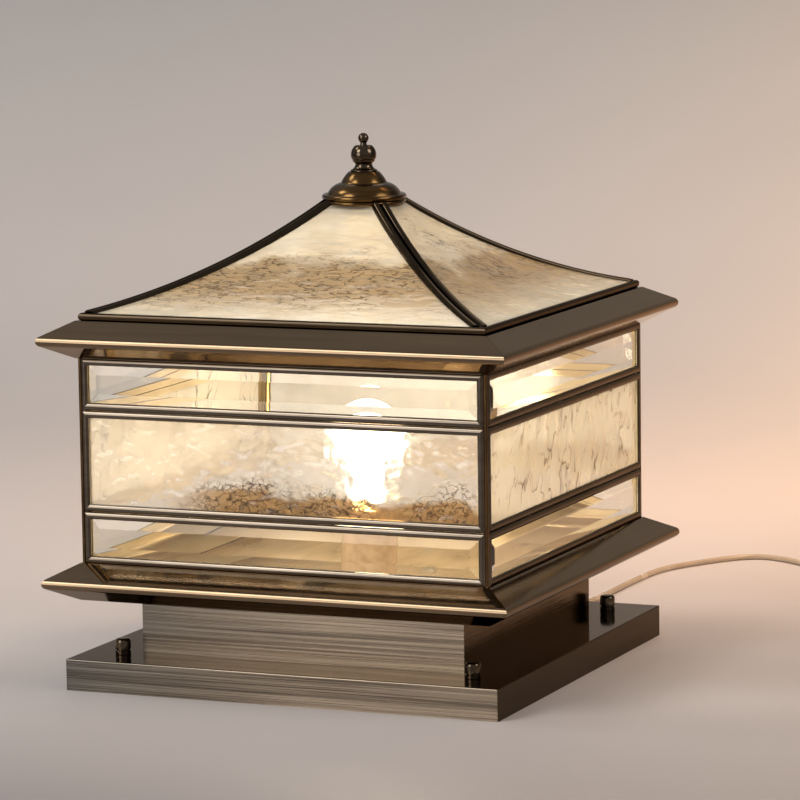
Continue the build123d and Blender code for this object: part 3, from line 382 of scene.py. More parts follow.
@dataclass(frozen=True)
class MetalFinish:
    """Metal with a patina that drifts over it and a brushed, drawn or spun grain, and, where set, painted
    bulb light on faces in the lamp chamber and painted shade on side faces and the left-hand end.
    """

    name: str
    deep: Colour
    pale: Colour
    gloss: Span
    grain: Point
    grain_depth: float = 0.1
    drift: Point = (14.0, 14.0, 40.0)
    metallic: float = 1.0
    polish_and_side_shade: PolishedShadedSides | None = None
    lacquer: PaintedInnerGlow | None = None
    rim: Colour = (1.0, 1.0, 1.0)
    worn_stops: Point = (0.34, 0.5, 0.66)
    aged_stops: Span = (0.28, 0.72)
    aged_share: Span = (0.3, 0.6)
    painted_tone_stops: Span = (0.3, 0.7)
    left_shade_stops: Span = (0.36, 0.64)
    side_shade_share: Span = (0.0, 0.6)
    grain_height: float = 0.0004

    def material(self) -> bpy.types.Material:
        """Build the node material of this finish.

        Returns:
            The material.
        """
        shader = Shader(self.name)
        shader.set(Metallic=self.metallic, Specular_Tint=(*self.rim, 1.0))
        grain = shader.noise(self.grain, detail=4.0, rough=0.65)
        patina = shader.noise(self.drift)
        middle = tuple((a + b) / 2 for a, b in zip(self.deep, self.pale))
        worn = shader.ramp(grain, zip(self.worn_stops, (self.deep, middle, self.pale)))
        aged = shader.ramp(patina, zip(self.aged_stops, (self.deep, self.pale)))
        colour = shader.mix(shader.spread(patina, *self.aged_share), worn, aged)
        gloss = shader.spread(grain, *self.gloss)
        # Painted light: faces inside the chamber or turned to it take a paler, less metallic colour that
        # stands in for the bulb's light.
        if self.lacquer is not None:
            inner = shader.inward(self.lacquer.limit)
            inner_glow_colour = shader.ramp(patina, zip(self.painted_tone_stops, (self.lacquer.deep, self.lacquer.pale)))
            colour = shader.mix(inner, colour, inner_glow_colour)
            shader.feed("Metallic", shader.between(inner, self.metallic, self.lacquer.metallic))
        if self.polish_and_side_shade is not None:
            # Painted shade: the left-hand end darkens towards a grey.
            left_shaded = shader.ramp(grain, zip(self.left_shade_stops, (self.deep, self.polish_and_side_shade.left_shade)))
            colour = shader.mix(shader.along("X", *self.polish_and_side_shade.left_shade_ends), left_shaded, colour)
            # Painted shade: faces that don't look to the front or back take darker colours; their smoother
            # gloss is real polish.
            off_front_mask = shader.off_front()
            shaded_sides = shader.ramp(patina, zip(self.painted_tone_stops, (self.polish_and_side_shade.deep, self.polish_and_side_shade.pale)))
            shaded_sides = shader.mix(shader.spread(grain, *self.side_shade_share), shaded_sides, self.polish_and_side_shade.pale)
            colour = shader.mix(off_front_mask, colour, shaded_sides)
            gloss = shader.blend(off_front_mask, gloss, shader.spread(patina, *self.polish_and_side_shade.gloss))
        shader.feed("Base Color", colour)
        shader.feed("Roughness", gloss)
        shader.bump(grain, self.grain_depth, self.grain_height)
        return shader.material


class Stroke(Enum):
    """Shape of the painted dark marks in a rolled glass surface, which stand in for the shade that its
    ripples bend into view.
    """

    LOOPS = ((0.458, 0.0), (0.486, 1.0), (0.504, 1.0), (0.532, 0.0))
    CRACKS = ((0.478, 0.0), (0.486, 1.0), (0.492, 1.0), (0.502, 0.0))
    CRINKLES = ((0.455, 0.0), (0.480, 1.0), (0.500, 1.0), (0.528, 0.0))


@dataclass(frozen=True)
class RolledFigure:
    """Fine dark marks of a rolled glass surface, painted shade that stands in for what its ripples bend into
    view, and a deeper tone low on the pane.
    """

    stroke: Stroke
    cells: Point
    ridge_shade: Colour
    levels: Span
    low: Colour
    low_levels: Span
    bump: float = 0.35
    tilt: float = 0.0
    fade: Span = (-9.0, -8.0)
    foot: Span = (-9.0, -8.0)


@dataclass(frozen=True)
class GlassFinish:
    """Clear or cream glass that bends the light."""

    name: str
    tint: Colour
    cloud: Colour
    roughness: float
    transmission: float = 1.0
    figure: RolledFigure | None = None
    bending: float = 1.5
    cloud_cells: Point = (30.0, 30.0, 30.0)
    cloud_stops: Span = (0.3, 0.6)
    patch_cells: Point = (16.0, 16.0, 24.0)
    patch_high: float = 1.4
    thinning: Span = (-0.25, 1.3)
    figure_height: float = 0.0006

    def material(self) -> bpy.types.Material:
        """Build the node material of this finish.

        Returns:
            The material.
        """
        shader = Shader(self.name)
        shader.set(IOR=self.bending, Roughness=self.roughness, Transmission_Weight=self.transmission)
        clouds = shader.noise(self.cloud_cells, rough=0.6)
        colour = shader.ramp(clouds, zip(self.cloud_stops, (self.cloud, self.tint)))
        if self.figure is not None:
            rolled = shader.noise(self.figure.cells, detail=2.0, rough=0.5, tilt=self.figure.tilt)
            sideways = shader.along("X", *self.figure.fade)
            shown = shader.times(sideways, shader.along("Z", *self.figure.foot))
            deeper = self.patches(shader, self.figure.low_levels, least=0.2, crisp=3.0)
            colour = shader.mix(shader.times(deeper, shown), colour, self.figure.low)
            # Painted shade: dark marks along the ripples, standing in for the dark that the rippled glass
            # bends into view.
            stops = [(place, (share,) * 3) for place, share in self.figure.stroke.value]
            marks = shader.ramp(rolled, stops)
            dense = self.patches(shader, self.figure.levels, least=-0.6, crisp=1.6)
            ridge_shaded = shader.times(marks, shader.times(dense, shown))
            colour = shader.mix(ridge_shaded, colour, self.figure.ridge_shade)
            shader.bump(rolled, self.figure.bump, self.figure_height)
        shader.feed("Base Color", colour)
        return shader.material

    def patches(self, shader: Shader, levels: Span, least: float, crisp: float) -> Socket:
        """Share of uneven patches that thin out with height.

        Args:
            shader: graph to add to.
            levels: heights in metres between which they thin out.
            least: share in the barest places, before they thin out.
            crisp: steepness of their outlines.

        Returns:
            Share from 0 to 1.
        """
        uneven = shader.spread(shader.noise(self.patch_cells), least, self.patch_high)
        thinner = shader.between(shader.along("Z", *levels), *self.thinning)
        return shader.maths("MULTIPLY", shader.maths("SUBTRACT", uneven, thinner), crisp, clamp=True)


@dataclass(frozen=True)
class MouldedFinish:
    """Moulded, glazed or rubbery surface with a fine mottle."""

    name: str
    deep: Colour
    pale: Colour
    gloss: Span
    cells: float = 400.0
    bump: float = 0.1
    transmission: float = 0.0
    stops: Span = (0.32, 0.66)
    mottle_height: float = 0.0002

    def material(self) -> bpy.types.Material:
        """Build the node material of this finish.

        Returns:
            The material.
        """
        shader = Shader(self.name)
        shader.set(Transmission_Weight=self.transmission)
        mottle = shader.noise((self.cells,) * 3, rough=0.5)
        shader.feed("Base Color", shader.ramp(mottle, zip(self.stops, (self.deep, self.pale))))
        shader.feed("Roughness", shader.spread(mottle, *self.gloss))
        shader.bump(mottle, self.bump, self.mottle_height)
        return shader.material


@dataclass(frozen=True)
class GlowFinish:
    """Frosted glass lit from inside."""

    name: str
    glow: Colour
    strength: float
    deep: Colour = (0.92, 0.88, 0.78)
    pale: Colour = (1.0, 0.97, 0.9)
    stops: Span = (0.3, 0.7)
    gloss: Span = (0.35, 0.55)
    cells: Point = (300.0, 300.0, 300.0)

    def material(self) -> bpy.types.Material:
        """Build the node material of this finish.

        Returns:
            The material.
        """
        shader = Shader(self.name)
        frost = shader.noise(self.cells, rough=0.5)
        shader.feed("Base Color", shader.ramp(frost, zip(self.stops, (self.deep, self.pale))))
        shader.feed("Roughness", shader.spread(frost, *self.gloss))
        shader.set(Emission_Color=(*self.glow, 1.0), Emission_Strength=self.strength)
        return shader.material


class Finish(Enum):
    """Finishes of the lantern."""

    BRUSHED_BRONZE = MetalFinish(
        "brushed_bronze", (0.032, 0.026, 0.020), (0.46, 0.372, 0.280), (0.20, 0.36), (4.0, 4.0, 850.0),
        0.26, (2.5, 2.5, 60.0),
        # Painted shade: darker colours on the side faces, and a grey left-hand end.
        polish_and_side_shade=PolishedShadedSides(
            (0.044, 0.030, 0.018), (0.080, 0.057, 0.037), (0.07, 0.13), (0.155, 0.148, 0.135), (-0.2, 0.02)
        ),
        rim=(0.76, 0.71, 0.66)
    )
    # Painted light: a lighter copy of the brushed bronze for the neck, with lighter side faces too.
    BRUSHED_NECK_PAINTED_LIGHT = replace(
        BRUSHED_BRONZE, name="brushed_neck_painted_light", pale=(0.49, 0.396, 0.298),
        polish_and_side_shade=replace(BRUSHED_BRONZE.polish_and_side_shade, deep=(0.088, 0.058, 0.032), pale=(0.150, 0.102, 0.060))
    )
    # Painted bulb light on the faces that look into the lamp chamber.
    BRONZE = MetalFinish(
        "antique_bronze", (0.160, 0.113, 0.070), (0.235, 0.170, 0.110), (0.06, 0.11), (5.0, 5.0, 300.0),
        0.01, (8.0, 8.0, 40.0), lacquer=PaintedInnerGlow(0.169), rim=(0.86, 0.82, 0.78)
    )
    DARK_BRONZE = MetalFinish(
        "dark_bronze", (0.046, 0.025, 0.008), (0.142, 0.081, 0.030), (0.14, 0.24), (60.0, 60.0, 900.0),
        0.05
    )
    BLACK_BRONZE = MetalFinish(
        "black_bronze", (0.034, 0.024, 0.015), (0.060, 0.043, 0.027), (0.045, 0.075), (30.0, 30.0, 60.0),
        0.01, rim=(0.70, 0.66, 0.62)
    )
    SMOKED_BRONZE = MetalFinish(
        "smoked_bronze", (0.050, 0.036, 0.023), (0.130, 0.100, 0.070), (0.05, 0.10), (60.0, 60.0, 240.0),
        0.02, rim=(0.75, 0.70, 0.66)
    )
    # Painted bulb light on the faces that look into the lamp chamber.
    CAME = MetalFinish(
        "came_metal", (0.092, 0.075, 0.058), (0.185, 0.155, 0.124), (0.07, 0.14), (14.0, 14.0, 260.0),
        0.015, lacquer=PaintedInnerGlow(0.1696), rim=(0.66, 0.60, 0.54)
    )
    SOLDER = MetalFinish(
        "dark_solder", (0.046, 0.025, 0.010), (0.13, 0.076, 0.034), (0.12, 0.22), (300.0, 300.0, 60.0),
        0.06, rim=(0.86, 0.74, 0.60)
    )
    FLOOR_BRASS = MetalFinish(
        "lacquered_brass", (0.47, 0.345, 0.19), (0.72, 0.55, 0.335), (0.12, 0.20), (40.0, 8.0, 40.0), 0.03,
        (18.0, 18.0, 18.0), 0.35
    )
    PIN_BRASS = MetalFinish(
        "pin_brass", (0.19, 0.118, 0.022), (0.40, 0.268, 0.068), (0.10, 0.20), (160.0, 160.0, 700.0), 0.05
    )
    ZINC = MetalFinish(
        "zinc_steel", (0.42, 0.42, 0.41), (0.68, 0.67, 0.63), (0.26, 0.42), (300.0, 300.0, 300.0), 0.12
    )
    NICKEL = MetalFinish(
        "nickel", (0.55, 0.54, 0.50), (0.80, 0.78, 0.73), (0.12, 0.24), (240.0, 240.0, 700.0), 0.06
    )
    CLEAR_GLASS = GlassFinish("clear_glass", (0.97, 0.985, 0.965), (0.95, 0.97, 0.94), 0.0)
    PEBBLE_GLASS = GlassFinish(
        "pebble_glass", (0.98, 0.94, 0.86), (0.86, 0.825, 0.73), 0.12, 0.80,
        RolledFigure(
            Stroke.LOOPS, (110.0, 110.0, 150.0), (0.10, 0.055, 0.020), (0.154, 0.196),
            (0.62, 0.43, 0.21), (0.150, 0.172), fade=(-0.105, -0.05)
        )
    )
    WAVE_GLASS = GlassFinish(
        "wave_glass", (1.0, 0.935, 0.785), (0.97, 0.88, 0.70), 0.10, 0.68,
        RolledFigure(
            Stroke.CRACKS, (46.0, 46.0, 22.0), (0.13, 0.072, 0.026), (0.42, 0.90),
            (0.90, 0.76, 0.52), (0.140, 0.150), 0.9, 20.0
        )
    )
    STREAK_GLASS = GlassFinish(
        "streak_glass", (0.97, 0.905, 0.765), (0.88, 0.79, 0.61), 0.12, 0.62,
        RolledFigure(
            Stroke.CRINKLES, (62.0, 62.0, 330.0), (0.15, 0.086, 0.035), (0.332, 0.384),
            (0.64, 0.49, 0.285), (0.316, 0.360), 0.6, 14.0, foot=(0.304, 0.320)
        )
    )
    GLOW = GlowFinish("lit_bulb", (1.0, 0.88, 0.64), 25.5)
    PORCELAIN = MouldedFinish(
        "porcelain", (0.53, 0.37, 0.21), (0.66, 0.49, 0.30), (0.14, 0.24), 120.0, 0.03
    )
    RUBBER = MouldedFinish(
        "black_rubber", (0.018, 0.018, 0.018), (0.045, 0.045, 0.045), (0.55, 0.75), 900.0, 0.2
    )
    SHEATH = MouldedFinish(
        "cord_sheath", (0.50, 0.37, 0.25), (0.61, 0.47, 0.335), (0.20, 0.30), 40.0, 0.02, 0.10
    )


def add_object(name: str, data: bpy.types.ID) -> bpy.types.Object:
    """Make an object and link it into the scene.

    Args:
        name: name of the object.
        data: its mesh, curve, lamp or camera.

    Returns:
        The object.
    """
    made = bpy.data.objects.new(name, data)
    bpy.context.scene.collection.objects.link(made)
    return made


class Workshop:
    """Makes meshes, keeps one material per finish and hangs finished pieces on the frame."""

    def __init__(self) -> None:
        """Start with no material made yet."""
        self.made: dict[Finish, bpy.types.Material] = {}

    def material(self, finish: Finish) -> bpy.types.Material:
        """Material of a finish, built on first use.

        Args:
            finish: the finish.

        Returns:
            Its material.
        """
        if finish not in self.made:
            self.made[finish] = finish.value.material()
        return self.made[finish]

    def dress(self, finish: Finish, *nodes: str) -> None:
        """Give CAD nodes that stay in view their finish.

        Args:
            finish: finish to put on them.
            nodes: names of the nodes.
        """
        for node in nodes:
            for material_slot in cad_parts[node].material_slots:
                material_slot.material = self.material(finish)
            log.info("dressed %s in %s", node, finish.name.lower())

    def piece(
        self,
        name: str,
        points: Sequence[Sequence[float]],
        faces: Sequence[Sequence[int]],
        finish: Finish,
        sharp: float = 40.0,
    ) -> bpy.types.Object:
        """Make a smooth-shaded mesh object.

        Args:
            name: name of the piece.
            points: its corners in metres.
            faces: corner numbers of each face.
            finish: its finish.
            sharp: angle in degrees above which an edge stays sharp.

        Returns:
            The new object, linked into the scene.
        """
        mesh = bpy.data.meshes.new(name)
        mesh.from_pydata([tuple(point) for point in points], [], [tuple(face) for face in faces])
        mesh.validate()
        mesh.shade_smooth()
        mesh.set_sharp_from_angle(angle=math.radians(sharp))
        mesh.materials.append(self.material(finish))
        return add_object(name, mesh)

    def fit(self, piece: bpy.types.Object, body: Body, slot: str, *nodes: str) -> None:
        """Let a piece ride on a body in place of CAD nodes.

        Args:
            piece: the piece.
            body: body that it moves with.
            slot: material slot of the record; not used.
            nodes: nodes that it stands for.
        """
        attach(piece, body.value)
        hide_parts(*nodes)
        log.info("fitted %s on %s", piece.name, body.value)

    def turned(
        self, profile: Profile, steps: int, places: Sequence[Point] = ((0.0, 0.0, 0.0),)
    ) -> tuple[list[Point], list[list[int]]]:
        """Mesh of profiles turned round upright axes.

        Args:
            profile: radius and height of each ring in millimetres; a zero radius closes an end.
            steps: points round each ring.
            places: foot of each copy in metres.

        Returns:
            Corners in metres and faces.
        """
        points: list[Point] = []
        faces: list[list[int]] = []
        for x, y, z in places:
            rings: list[list[int]] = []
            for radius, height in profile:
                count = 1 if radius == 0 else steps
                start = len(points)
                reach = radius * MM
                for step in range(count):
                    angle = 2 * math.pi * step / steps
                    points.append((x + reach * math.cos(angle), y + reach * math.sin(angle), z + height * MM))
                rings.append(list(range(start, start + count)))
            for low, high in zip(rings, rings[1:]):
                for step in range(steps):
                    after = (step + 1) % steps
                    ends = ((low, step), (low, after), (high, after), (high, step))
                    faces.append(list(dict.fromkeys(ring[place % len(ring)] for ring, place in ends)))
        return points, faces


def arc(start: Flat, middle: Flat, end: Flat, steps: int) -> Profile:
    """Points of a circular arc through three points.

    Args:
        start: first point.
        middle: a point on the way.
        end: last point.
        steps: stretches that it is divided into.

    Returns:
        The points, both ends included.
    """
    centre, radius = circle_through(start, middle, end)
    angles = [math.atan2(y - centre[1], x - centre[0]) for x, y in (start, middle, end)]
    full = 2 * math.pi
    sweep = (angles[2] - angles[0]) % full
    if (angles[1] - angles[0]) % full > sweep:
        sweep -= full
    turns = [angles[0] + sweep * i / steps for i in range(steps + 1)]
    return [(centre[0] + radius * math.cos(a), centre[1] + radius * math.sin(a)) for a in turns]


def circle_through(a: Flat, b: Flat, c: Flat) -> tuple[Flat, float]:
    """Circle through three points.

    Args:
        a: first point.
        b: second point.
        c: third point.

    Returns:
        Its centre and radius.
    """
    squares = [p[0] ** 2 + p[1] ** 2 for p in (a, b, c)]
    rises = (b[1] - c[1], c[1] - a[1], a[1] - b[1])
    runs = (c[0] - b[0], a[0] - c[0], b[0] - a[0])
    across = 2 * sum(p[0] * rise for p, rise in zip((a, b, c), rises))
    x = sum(square * rise for square, rise in zip(squares, rises)) / across
    y = sum(square * run for square, run in zip(squares, runs)) / across
    return (x, y), math.hypot(a[0] - x, a[1] - y)


class Ripple(Enum):
    """How the surface of a textured pane runs: cell sizes along and up the pane in millimetres."""

    PEBBLE = ((13.0, 9.0), (6.0, 5.0), (3.2, 2.9))
    WAVES = ((19.0, 25.0), (6.0, 8.0))
    STREAKS = ((34.0, 9.0), (15.0, 5.0), (8.0, 3.4))

    def height(self, along: float, up: float, seed: float) -> float:
        """Height of the rippled surface.

        Args:
            along: place along the pane in millimetres.
            up: place up the pane in millimetres.
            seed: shift that makes panes differ.

        Returns:
            Height in millimetres, about -1 to 1.
        """
        cells = [(along / wide, up / high) for wide, high in self.value]
        if self is Ripple.WAVES:
            (x, y), small = cells
            drops = noise.voronoi(Vector((x + seed, y, DROP_SHIFT * seed)))[0]
            level, hollow, fine = DROP_WEIGHTS
            return level - hollow * drops[0] + fine * noise.noise(Vector((*small, seed)))
        return sum(
            weight * noise.noise(Vector([c + seed * s for c, s in zip((*cell, 0.0), SEED_SHIFT)]))
            for weight, cell in zip(RIPPLE_WEIGHTS, cells)
        )


def rise_from_edge(inset: float, hold: float) -> float:
    """Zero at a pane's flat edge, one from the width hold inside it on."""
    return min(1.0, max(0.0, inset / hold))


def slab_faces(across: int, high: int) -> list[list[int]]:
    """Faces of a slab whose two layers are grids of the same size.

    Args:
        across: cells along the first direction.
        high: cells along the second direction.

    Returns:
        Faces of the front, the back and the four edges.
    """
    row = across + 1
    layer = row * (high + 1)
    faces = []
    for j in range(high):
        for i in range(across):
            a = j * row + i
            faces.append([a, a + 1, a + row + 1, a + row])
            faces.append([layer + a, layer + a + row, layer + a + row + 1, layer + a + 1])
    for i in range(across):
        low, top = i, high * row + i
        faces.append([low, layer + low, layer + low + 1, low + 1])
        faces.append([top, top + 1, layer + top + 1, layer + top])
    for j in range(high):
        left, right = j * row, j * row + across
        faces.append([left, left + row, layer + left + row, layer + left])
        faces.append([right, layer + right, layer + right + row, right + row])
    return faces


@dataclass
class PhotoCamera:
    """Camera at the photograph's place, worked out from the eave, tray and roof edges."""

    azimuth: float = 22.954
    elevation: float = 7.836
    distance: float = 3.5568
    roll: float = -0.802
    lens: float = 195.37
    sensor: float = 36.0
    sight: float = 100.0
    aim_height: float = 0.21787
    aim_right: float = 0.02676

    def build(self) -> None:
        """Make the camera and the scene look through it."""
        turn, lift, roll = (math.radians(a) for a in (self.azimuth, self.elevation, self.roll))
        right = Vector((math.cos(turn), math.sin(turn), 0.0))
        back = Vector((math.sin(turn) * math.cos(lift), -math.cos(turn) * math.cos(lift), math.sin(lift)))
        up = back.cross(right)
        place = Vector((0.0, 0.0, self.aim_height)) + right * self.aim_right + back * self.distance
        across = right * math.cos(roll) + up * math.sin(roll)
        upright = up * math.cos(roll) - right * math.sin(roll)
        data = bpy.data.cameras.new("photo_camera")
        data.lens = self.lens
        data.sensor_width = self.sensor
        data.clip_end = self.sight
        camera = add_object("photo_camera", data)
        turned = Matrix((across, upright, back)).transposed().to_4x4()
        camera.matrix_world = Matrix.Translation(place) @ turned
        bpy.context.scene.camera = camera
        log.info("camera at %s", tuple(round(c, 3) for c in place))


@dataclass(frozen=True)
class SoftLamp:
    """Round soft lamp that shines from a place to a target."""

    name: str
    place: Point
    target: Point
    size: float
    power: float
    colour: Colour
    spread: float = 180.0

    def build(self) -> None:
        """Hang the lamp."""
        data = bpy.data.lights.new(self.name, "AREA")
        data.shape = "DISK"
        data.size = self.size
        data.energy = self.power
        data.color = self.colour
        data.spread = math.radians(self.spread)
        lamp = add_object(self.name, data)
        lamp.location = self.place
        aim = Vector(self.target) - Vector(self.place)
        lamp.rotation_euler = aim.to_track_quat("-Z", "Y").to_euler()


@dataclass
class Studio:
    """Pale floor that sweeps up into a backdrop, with painted shade towards the front and high on the wall
    and painted warm light to the right, soft lamps and an even world.
    """

    width: float = 30.0
    near: float = -14.0
    far: float = 2.6
    sweep: float = 1.4
    sweep_steps: int = 16
    height: float = 3.2
    tone: Colour = (0.605, 0.562, 0.552)
    paler: float = 1.04
    cells: Point = (3.0, 3.0, 3.0)
    stops: Span = (0.3, 0.7)
    # Painted shade: the floor darkens towards the front.
    front: Colour = (0.25, 0.218, 0.216)
    front_shade_run: Span = (-0.05, -0.7)
    # Painted light: floor and wall warm towards the right.
    right: Colour = (0.48, 0.385, 0.33)
    right_light_run: Span = (0.1, 0.75)
    # Painted shade: the wall darkens and greys higher up.
    upper: Colour = (0.310, 0.325, 0.330)
    upper_shade_run: Span = (0.15, 0.75)
    roughness: float = 0.55
    shine: float = 0.25
    world: Colour = (0.80, 0.78, 0.76)
    world_strength: float = 0.48
    lamps: tuple[SoftLamp, ...] = (
        SoftLamp("key", (-1.7, -2.5, 2.6), (0.0, 0.0, 0.2), 1.8, 56.0, (1.0, 0.97, 0.94)),
        SoftLamp("front", (-1.7, -3.5, 0.75), (0.0, 0.0, 0.1), 2.2, 42.0, (1.0, 0.96, 0.91)),
        SoftLamp("side", (-2.6, -0.5, 3.1), (0.0, 0.0, 0.3), 1.0, 20.0, (1.0, 0.96, 0.90)),
        SoftLamp("rim", (-0.9, 2.2, 2.3), (0.0, 0.0, 0.3), 1.2, 4.0, (1.0, 0.94, 0.85)),
        SoftLamp("fill", (2.4, -0.1, 2.0), (0.0, 0.0, 0.3), 1.6, 4.0, (1.0, 0.92, 0.82), 60.0),
        SoftLamp("warm_wall", (0.6, 1.5, 0.7), (-0.2, 2.4, 0.15), 0.8, 8.5, (1.0, 0.60, 0.28)),
        SoftLamp("warm_floor", (0.5, 0.95, 1.5), (0.08, 0.8, 0.0), 0.7, 2.8, (1.0, 0.55, 0.26), 60.0),
    )

    def build(self) -> None:
        """Make the stage, the lamps and the world."""
        floor = self.backdrop()
        for lamp in self.lamps:
            lamp.build()
        world = bpy.data.worlds.new("studio_world")
        world.use_nodes = True
        background = world.node_tree.nodes["Background"]
        background.inputs[0].default_value = (*self.world, 1.0)
        background.inputs[1].default_value = self.world_strength
        bpy.context.scene.world = world
        bpy.context.scene.view_settings.view_transform = "Standard"

    def backdrop(self) -> bpy.types.Object:
        """Make the floor with its sweep and wall.

        Returns:
            The floor.
        """
        foot = self.far - self.sweep
        outline = [(self.near, 0.0), (foot, 0.0)]
        for step in range(1, self.sweep_steps + 1):
            angle = math.pi / 2 * step / self.sweep_steps
            outline.append((foot + self.sweep * math.sin(angle), self.sweep - self.sweep * math.cos(angle)))
        outline.append((self.far, self.height))
        points = [(x, y, z) for y, z in outline for x in (-self.width / 2, self.width / 2)]
        faces = [(2 * i, 2 * i + 1, 2 * i + 3, 2 * i + 2) for i in range(len(outline) - 1)]
        mesh = bpy.data.meshes.new("studio_floor")
        mesh.from_pydata(points, [], faces)
        mesh.shade_smooth()
        mesh.materials.append(self.paper())
        return add_object("studio_floor", mesh)

    def paper(self) -> bpy.types.Material:
        """Build the paper of the backdrop, which shows from its front alone.

        Returns:
            The material.
        """
        shader = Shader("studio_paper")
        mottle = shader.noise(self.cells, detail=2.0, rough=0.5)
        pale = tuple(min(1.0, c * self.paler) for c in self.tone)
        colour = shader.ramp(mottle, zip(self.stops, (self.tone, pale)))
        # Painted shade towards the front and high up, and painted warm light to the right.
        colour = shader.mix(shader.along("Y", *self.front_shade_run), colour, self.front)
        colour = shader.mix(shader.along("X", *self.right_light_run), colour, self.right)
        colour = shader.mix(shader.along("Z", *self.upper_shade_run), colour, self.upper)
        shader.feed("Base Color", colour)
        shader.set(Roughness=self.roughness, Specular_IOR_Level=self.shine)
        shader.one_sided()
        return shader.material


@dataclass
class Assembly:
    """Sub-assembly of the lantern, made and fitted with the workshop's tools."""

    workshop: Workshop

    def build(self) -> None:
        """Make, dress and fit the pieces."""
        raise NotImplementedError


@dataclass
class MainsLead(Assembly):
    """Pale mains cord: over the floor behind the lantern, then a tied coil and a plug."""

    diameter: float = 5.0
    length: float = 1448.0
    outer_radius: float = 35.75
    pitch: float = 5.5
    inward: tuple[int, ...] = (0, 1, 2, 3, 4)
    climb: int = 5
    outward: tuple[int, ...] = (4, 2, 1, 0)
    turn_points: int = 8
    lead_radius: float = 25.0
    lead_points: int = 3
    round_steps: int = 5
    length_steps: int = 6
    route: tuple[Point, ...] = (
        (78.0, 214.5, 11.0), (78.0, 231.0, 11.0), (78.9, 252.0, 7.4), (80.0, 278.0, 3.3),
        (81.4, 308.0, 2.5), (82.9, 341.0, 2.5), (82.7, 376.0, 2.5), (83.1, 410.0, 2.5),
        (84.0, 440.0, 2.5), (86.2, 464.0, 2.5), (91.8, 485.5, 2.5), (101.6, 505.0, 2.5),
        (113.6, 526.0, 2.5), (126.6, 545.5, 2.5), (140.0, 559.5, 2.5), (156.0, 565.3, 2.5),
        (172.8, 561.0, 2.5), (189.5, 550.5, 2.5), (205.5, 540.0, 2.8), (221.0, 534.2, 3.5),
        (236.0, 534.2, 3.5),
    )

    def coil(self) -> list[Point]:
        """Place the coil's half turns and the bend to the plug.

        Returns:
            Control points in millimetres.
        """
        x, y, z = self.route[-1]
        x += self.diameter
        points: list[Point] = []
        way = 1
        for step in self.inward + (self.climb,) + self.outward:
            radius = self.outer_radius - step * self.pitch / 2
            swing = radius / math.cos(math.pi / 2 / self.turn_points)
            rise = self.pitch if step == self.climb else 0.0
            for part in range(self.turn_points):
                angle = math.pi * (part + 0.5) / self.turn_points
                across = way * swing * math.sin(angle)
                along = way * (radius - swing * math.cos(angle))
                points.append((x + across, y + along, z + rise * (1 - math.cos(angle)) / 2))
            y += way * 2 * radius
            z += rise
            way = -way
        bend = self.lead_radius
        for part in range(self.lead_points):
            angle = math.pi / 2 * (part + 0.5) / self.lead_points
            points.append((x + bend * math.sin(angle), y - bend * (1 - math.cos(angle)), z))
        points.append((x + bend, y - bend - self.diameter, z))
        return points

    def build(self) -> None:
        """Lay the cord and dress what is on it."""
        curve = bpy.data.curves.new("mains_cord", "CURVE")
        curve.dimensions = "3D"
        curve.bevel_depth = self.diameter / 2 * MM
        curve.bevel_resolution = self.round_steps
        curve.resolution_u = self.length_steps
        curve.use_fill_caps = True
        points = list(self.route) + self.coil()
        spline = curve.splines.new("NURBS")
        spline.points.add(len(points) - 1)
        for knot, point in zip(spline.points, points):
            knot.co = (*(c * MM for c in point), 1.0)
        spline.order_u = 3
        spline.use_endpoint_u = True
        curve.materials.append(self.workshop.material(Finish.SHEATH))
        cord = add_object("mains_cord", curve)
        self.workshop.fit(cord, Body.BODY, "cord_sheath", "cord", "cord_coil")
        self.workshop.dress(Finish.SHEATH, "cord_gland", "plug_body", "inner_cord", "lead_wires")
        self.workshop.dress(Finish.NICKEL, "plug_pins")
        self.workshop.dress(Finish.RUBBER, "coil_tie")


@dataclass
class Base(Assembly):
    """Base tray on its mounting bars, its cap nuts and the neck."""

    tray_height: float = 25.5
    stud_spacing: float = 304.0
    nut_radius: float = 6.3
    nut_bore: float = 4.15
    nut_height: float = 13.0

    def build(self) -> None:
        """Dress the tray and neck and make the cap nuts."""
        self.workshop.dress(Finish.BRUSHED_BRONZE, "base_tray")
        self.workshop.dress(Finish.BRUSHED_NECK_PAINTED_LIGHT, "neck_box")
        self.workshop.dress(Finish.ZINC, "mounting_bars", "anchor_studs", "neck_bolts", "neck_nuts")
        self.workshop.dress(Finish.PORCELAIN, "terminal_block")
        r, top = self.nut_radius, self.nut_height
        profile = [(self.nut_bore, SEAT_GAP), (r - 0.4, SEAT_GAP), (r, 0.45), (r, 2.9), (r - 0.3, 3.2)]
        profile += [(r - 0.9, 3.35), (r - 0.9, 4.0), (r - 0.3, 4.15), (r, 4.4), (r, top - 2.6)]
        profile += arc((r - 0.02, top - 2.5), (r - 0.8, top - 0.8), (r - 2.6, top - 0.05), steps=8)
        profile += [(0.0, top)]
        half = self.stud_spacing / 2 * MM
        places = [(x * half, y * half, self.tray_height * MM) for x in (1, -1) for y in (1, -1)]
        mesh = self.workshop.turned(profile, steps=40, places=places)
        nuts = self.workshop.piece("domed_nuts", *mesh, Finish.SMOKED_BRONZE, sharp=30.0)
        self.workshop.fit(nuts, Body.BODY, "dark_bronze", "cap_nuts")


